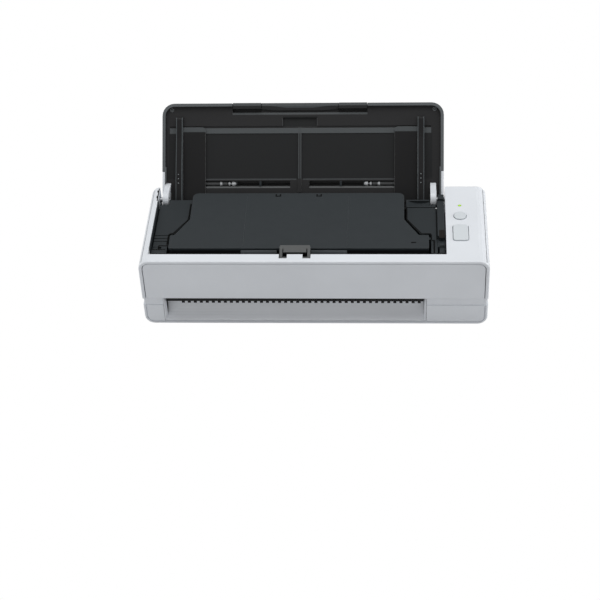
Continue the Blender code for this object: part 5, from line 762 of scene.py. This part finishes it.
def add_well_details():
    bracket = Form()
    bracket.blocks(LEFT_BRACKET)
    bracket.piece("left_well_bracket", "base", "dark_plastic", "dark_plastic")

    comb = Form()
    comb.prism(comb_outline(), 64.6, 66.5, 0.2)
    comb.piece("left_well_comb", "base", "dark_plastic", "dark_plastic")

    hinge = Form()
    for near, far, outer in RIM_HINGE:
        hinge.block((outer, near, 72.5), (-140.5, far, 73.05), 0.15)
    hinge.piece("left_rim_hinge", "base", "shade_plastic", "black_plastic")

    right = Form()
    right.blocks(RIGHT_BLOCKS)
    right.piece("right_well_blocks", "base", "dark_plastic", "dark_plastic")

    wall = Form()
    wall.block((-140.38, -33.2, 61.9), (-139.75, 33.5, 72.3), 0.12)
    for i in range(WALL_RIBS):
        y = WALL_RIB_START + WALL_RIB_PITCH * i
        wall.block((-139.85, y, 63.0), (-139.62, y + WALL_RIB_WIDTH, 71.6), 0.08, 1)
    wall.piece("left_wall_liner", "base", "dark_plastic", "dark_plastic")

    # Painted shade: dark strips along the well's steps, between its blocks and along the wing gaps.
    shade_strips = Form()
    for low, high in SHADE_BARS:
        shade_strips.block((*low, 65.6), (*high, SHADE_STRIP_TOP + 0.04), 0.08, 1)
    shade_strips.ribbon(LEFT_GAP_SHADE, 1.1, 65.9, SHADE_STRIP_TOP)
    shade_strips.ribbon(RIGHT_GAP_SHADE, 0.9, 65.9, SHADE_STRIP_TOP)
    shade_strips.piece("well_shade_strips", "base", "shade_plastic", "dark_plastic")

    pad = Form()
    pad.block((106.2, -16.6, 69.8), (111.0, -5.9, 70.15), 0.15)
    pad.piece("right_well_pad", "base", "brown_pad", "dark_plastic")

    cap = Form()
    cap.block((105.8, 35.4, 69.7), (111.1, 41.4, 72.2), 0.3)
    cap.piece("right_well_cap", "base", "dark_plastic", "dark_plastic")


# ---------------------------------------------------------------- details out of the photo's sight

CHIPS = (
    (137.5, -24.0, 5.0, 5.0),
    (137.5, -12.0, 4.0, 7.0),
    (120.5, 25.0, 6.0, 6.0),
    (138.0, 20.0, 3.5, 6.0),
)


def add_hidden_details():
    bottom = Form(UNDER)
    for x in (-133.0, 133.0):
        for y in (-6.0, 24.0):
            bottom.screw((x, y, -3.0), 2.4)
    bottom.piece("bottom_screws", "base", "steel", "steel")

    feet = Form(UNDER)
    for x in (-126.0, 126.0):
        for y in (-39.0, 39.0):
            feet.ring((x, y, -0.25), 4.6, 0.35, 0.2)
    feet.piece("foot_rings", "base", "roller_rubber", "roller_rubber")

    rear = Form(REAR)
    for x in (-132.0, 96.0):
        rear.screw((x, -38.0, 0.0), 2.2)
    rear.piece("rear_screws", "base", "steel", "steel")

    chips = Form()
    for x, y, wide, long in CHIPS:
        chips.block((x - wide / 2, y - long / 2, 61.9), (x + wide / 2, y + long / 2, 63.1), 0.15)
    chips.piece("panel_board_chips", "base", "chip_plastic", "black_plastic")


# ---------------------------------------------------------------- stage

FLOOR_HALF = 1.6
FLOOR_HEIGHT = -0.0006
FILL_LIGHT = 0.42
AIM = (0, 0, 0.05)
LIGHTS = (
    ("top_light", (0.1, 0.25, 1.6), (1.6, 1.2), 14.2),
    ("front_light", (-0.9, -1.4, 0.8), (1.0, 0.8), 2.4),
    ("right_light", (1.5, 0.05, 0.35), (0.9, 0.5), 8),
    ("left_light", (-1.5, 0.1, 0.35), (0.9, 0.5), 4.5),
)


def stage_material():
    """White to the camera, and a pale grey that bounces light to everything else."""
    m = Maker("stage_white")
    m.set("Base Color", m.mix(m.noise(4, 2.0, 0.5), (0.62, 0.62, 0.63, 1), (0.66, 0.66, 0.66, 1)))
    m.set("Roughness", 0.9)
    seen = m.add("ShaderNodeLightPath").outputs["Is Camera Ray"]
    glow = m.add("ShaderNodeEmission", Color=(1, 1, 1, 1), Strength=1.0)
    mixer = m.add("ShaderNodeMixShader")
    m.put(mixer.inputs[0], seen)
    m.put(mixer.inputs[1], m.bsdf.outputs[0])
    m.put(mixer.inputs[2], glow.outputs[0])
    m.put(m.tree.nodes["Material Output"].inputs["Surface"], mixer.outputs[0])
    return m.material


def add_floor():
    mesh = bpy.data.meshes.new("floor")
    corners = ((-1, -1), (1, -1), (1, 1), (-1, 1))
    mesh.from_pydata([(x * FLOOR_HALF, y * FLOOR_HALF, FLOOR_HEIGHT) for x, y in corners], [],
                     [(0, 1, 2, 3)])
    mesh.materials.append(stage_material())
    floor = bpy.data.objects.new("floor", mesh)
    bpy.context.scene.collection.objects.link(floor)


def add_world():
    """White to the camera, and weaker as a light on everything else."""
    world = bpy.data.worlds.new("studio")
    bpy.context.scene.world = world
    world.use_nodes = True
    tree = world.node_tree
    background = tree.nodes["Background"]
    background.inputs["Color"].default_value = (1, 1, 1, 1)
    path = tree.nodes.new("ShaderNodeLightPath")
    strength = tree.nodes.new("ShaderNodeMapRange")
    strength.inputs["To Min"].default_value = FILL_LIGHT
    strength.inputs["To Max"].default_value = 1.0
    tree.links.new(path.outputs["Is Camera Ray"], strength.inputs["Value"])
    tree.links.new(strength.outputs["Result"], background.inputs["Strength"])


def add_light(name, place, size, power):
    data = bpy.data.lights.new(name, "AREA")
    data.shape = "RECTANGLE"
    data.size, data.size_y = size
    data.energy = power
    lamp = bpy.data.objects.new(name, data)
    place, target = Vector(place), Vector(AIM)
    lamp.matrix_world = Matrix.Translation(place) @ (
        target - place).to_track_quat("-Z", "Y").to_matrix().to_4x4()
    bpy.context.scene.collection.objects.link(lamp)


# ---------------------------------------------------------------- making

bpy.context.scene.view_settings.view_transform = "Standard"
add_camera()
add_floor()
add_world()
for light in LIGHTS:
    add_light(*light)
MATERIALS = make_materials()
dress_nodes(MATERIALS)
add_chute_details()
add_cover_details()
add_well_details()
add_hidden_details()
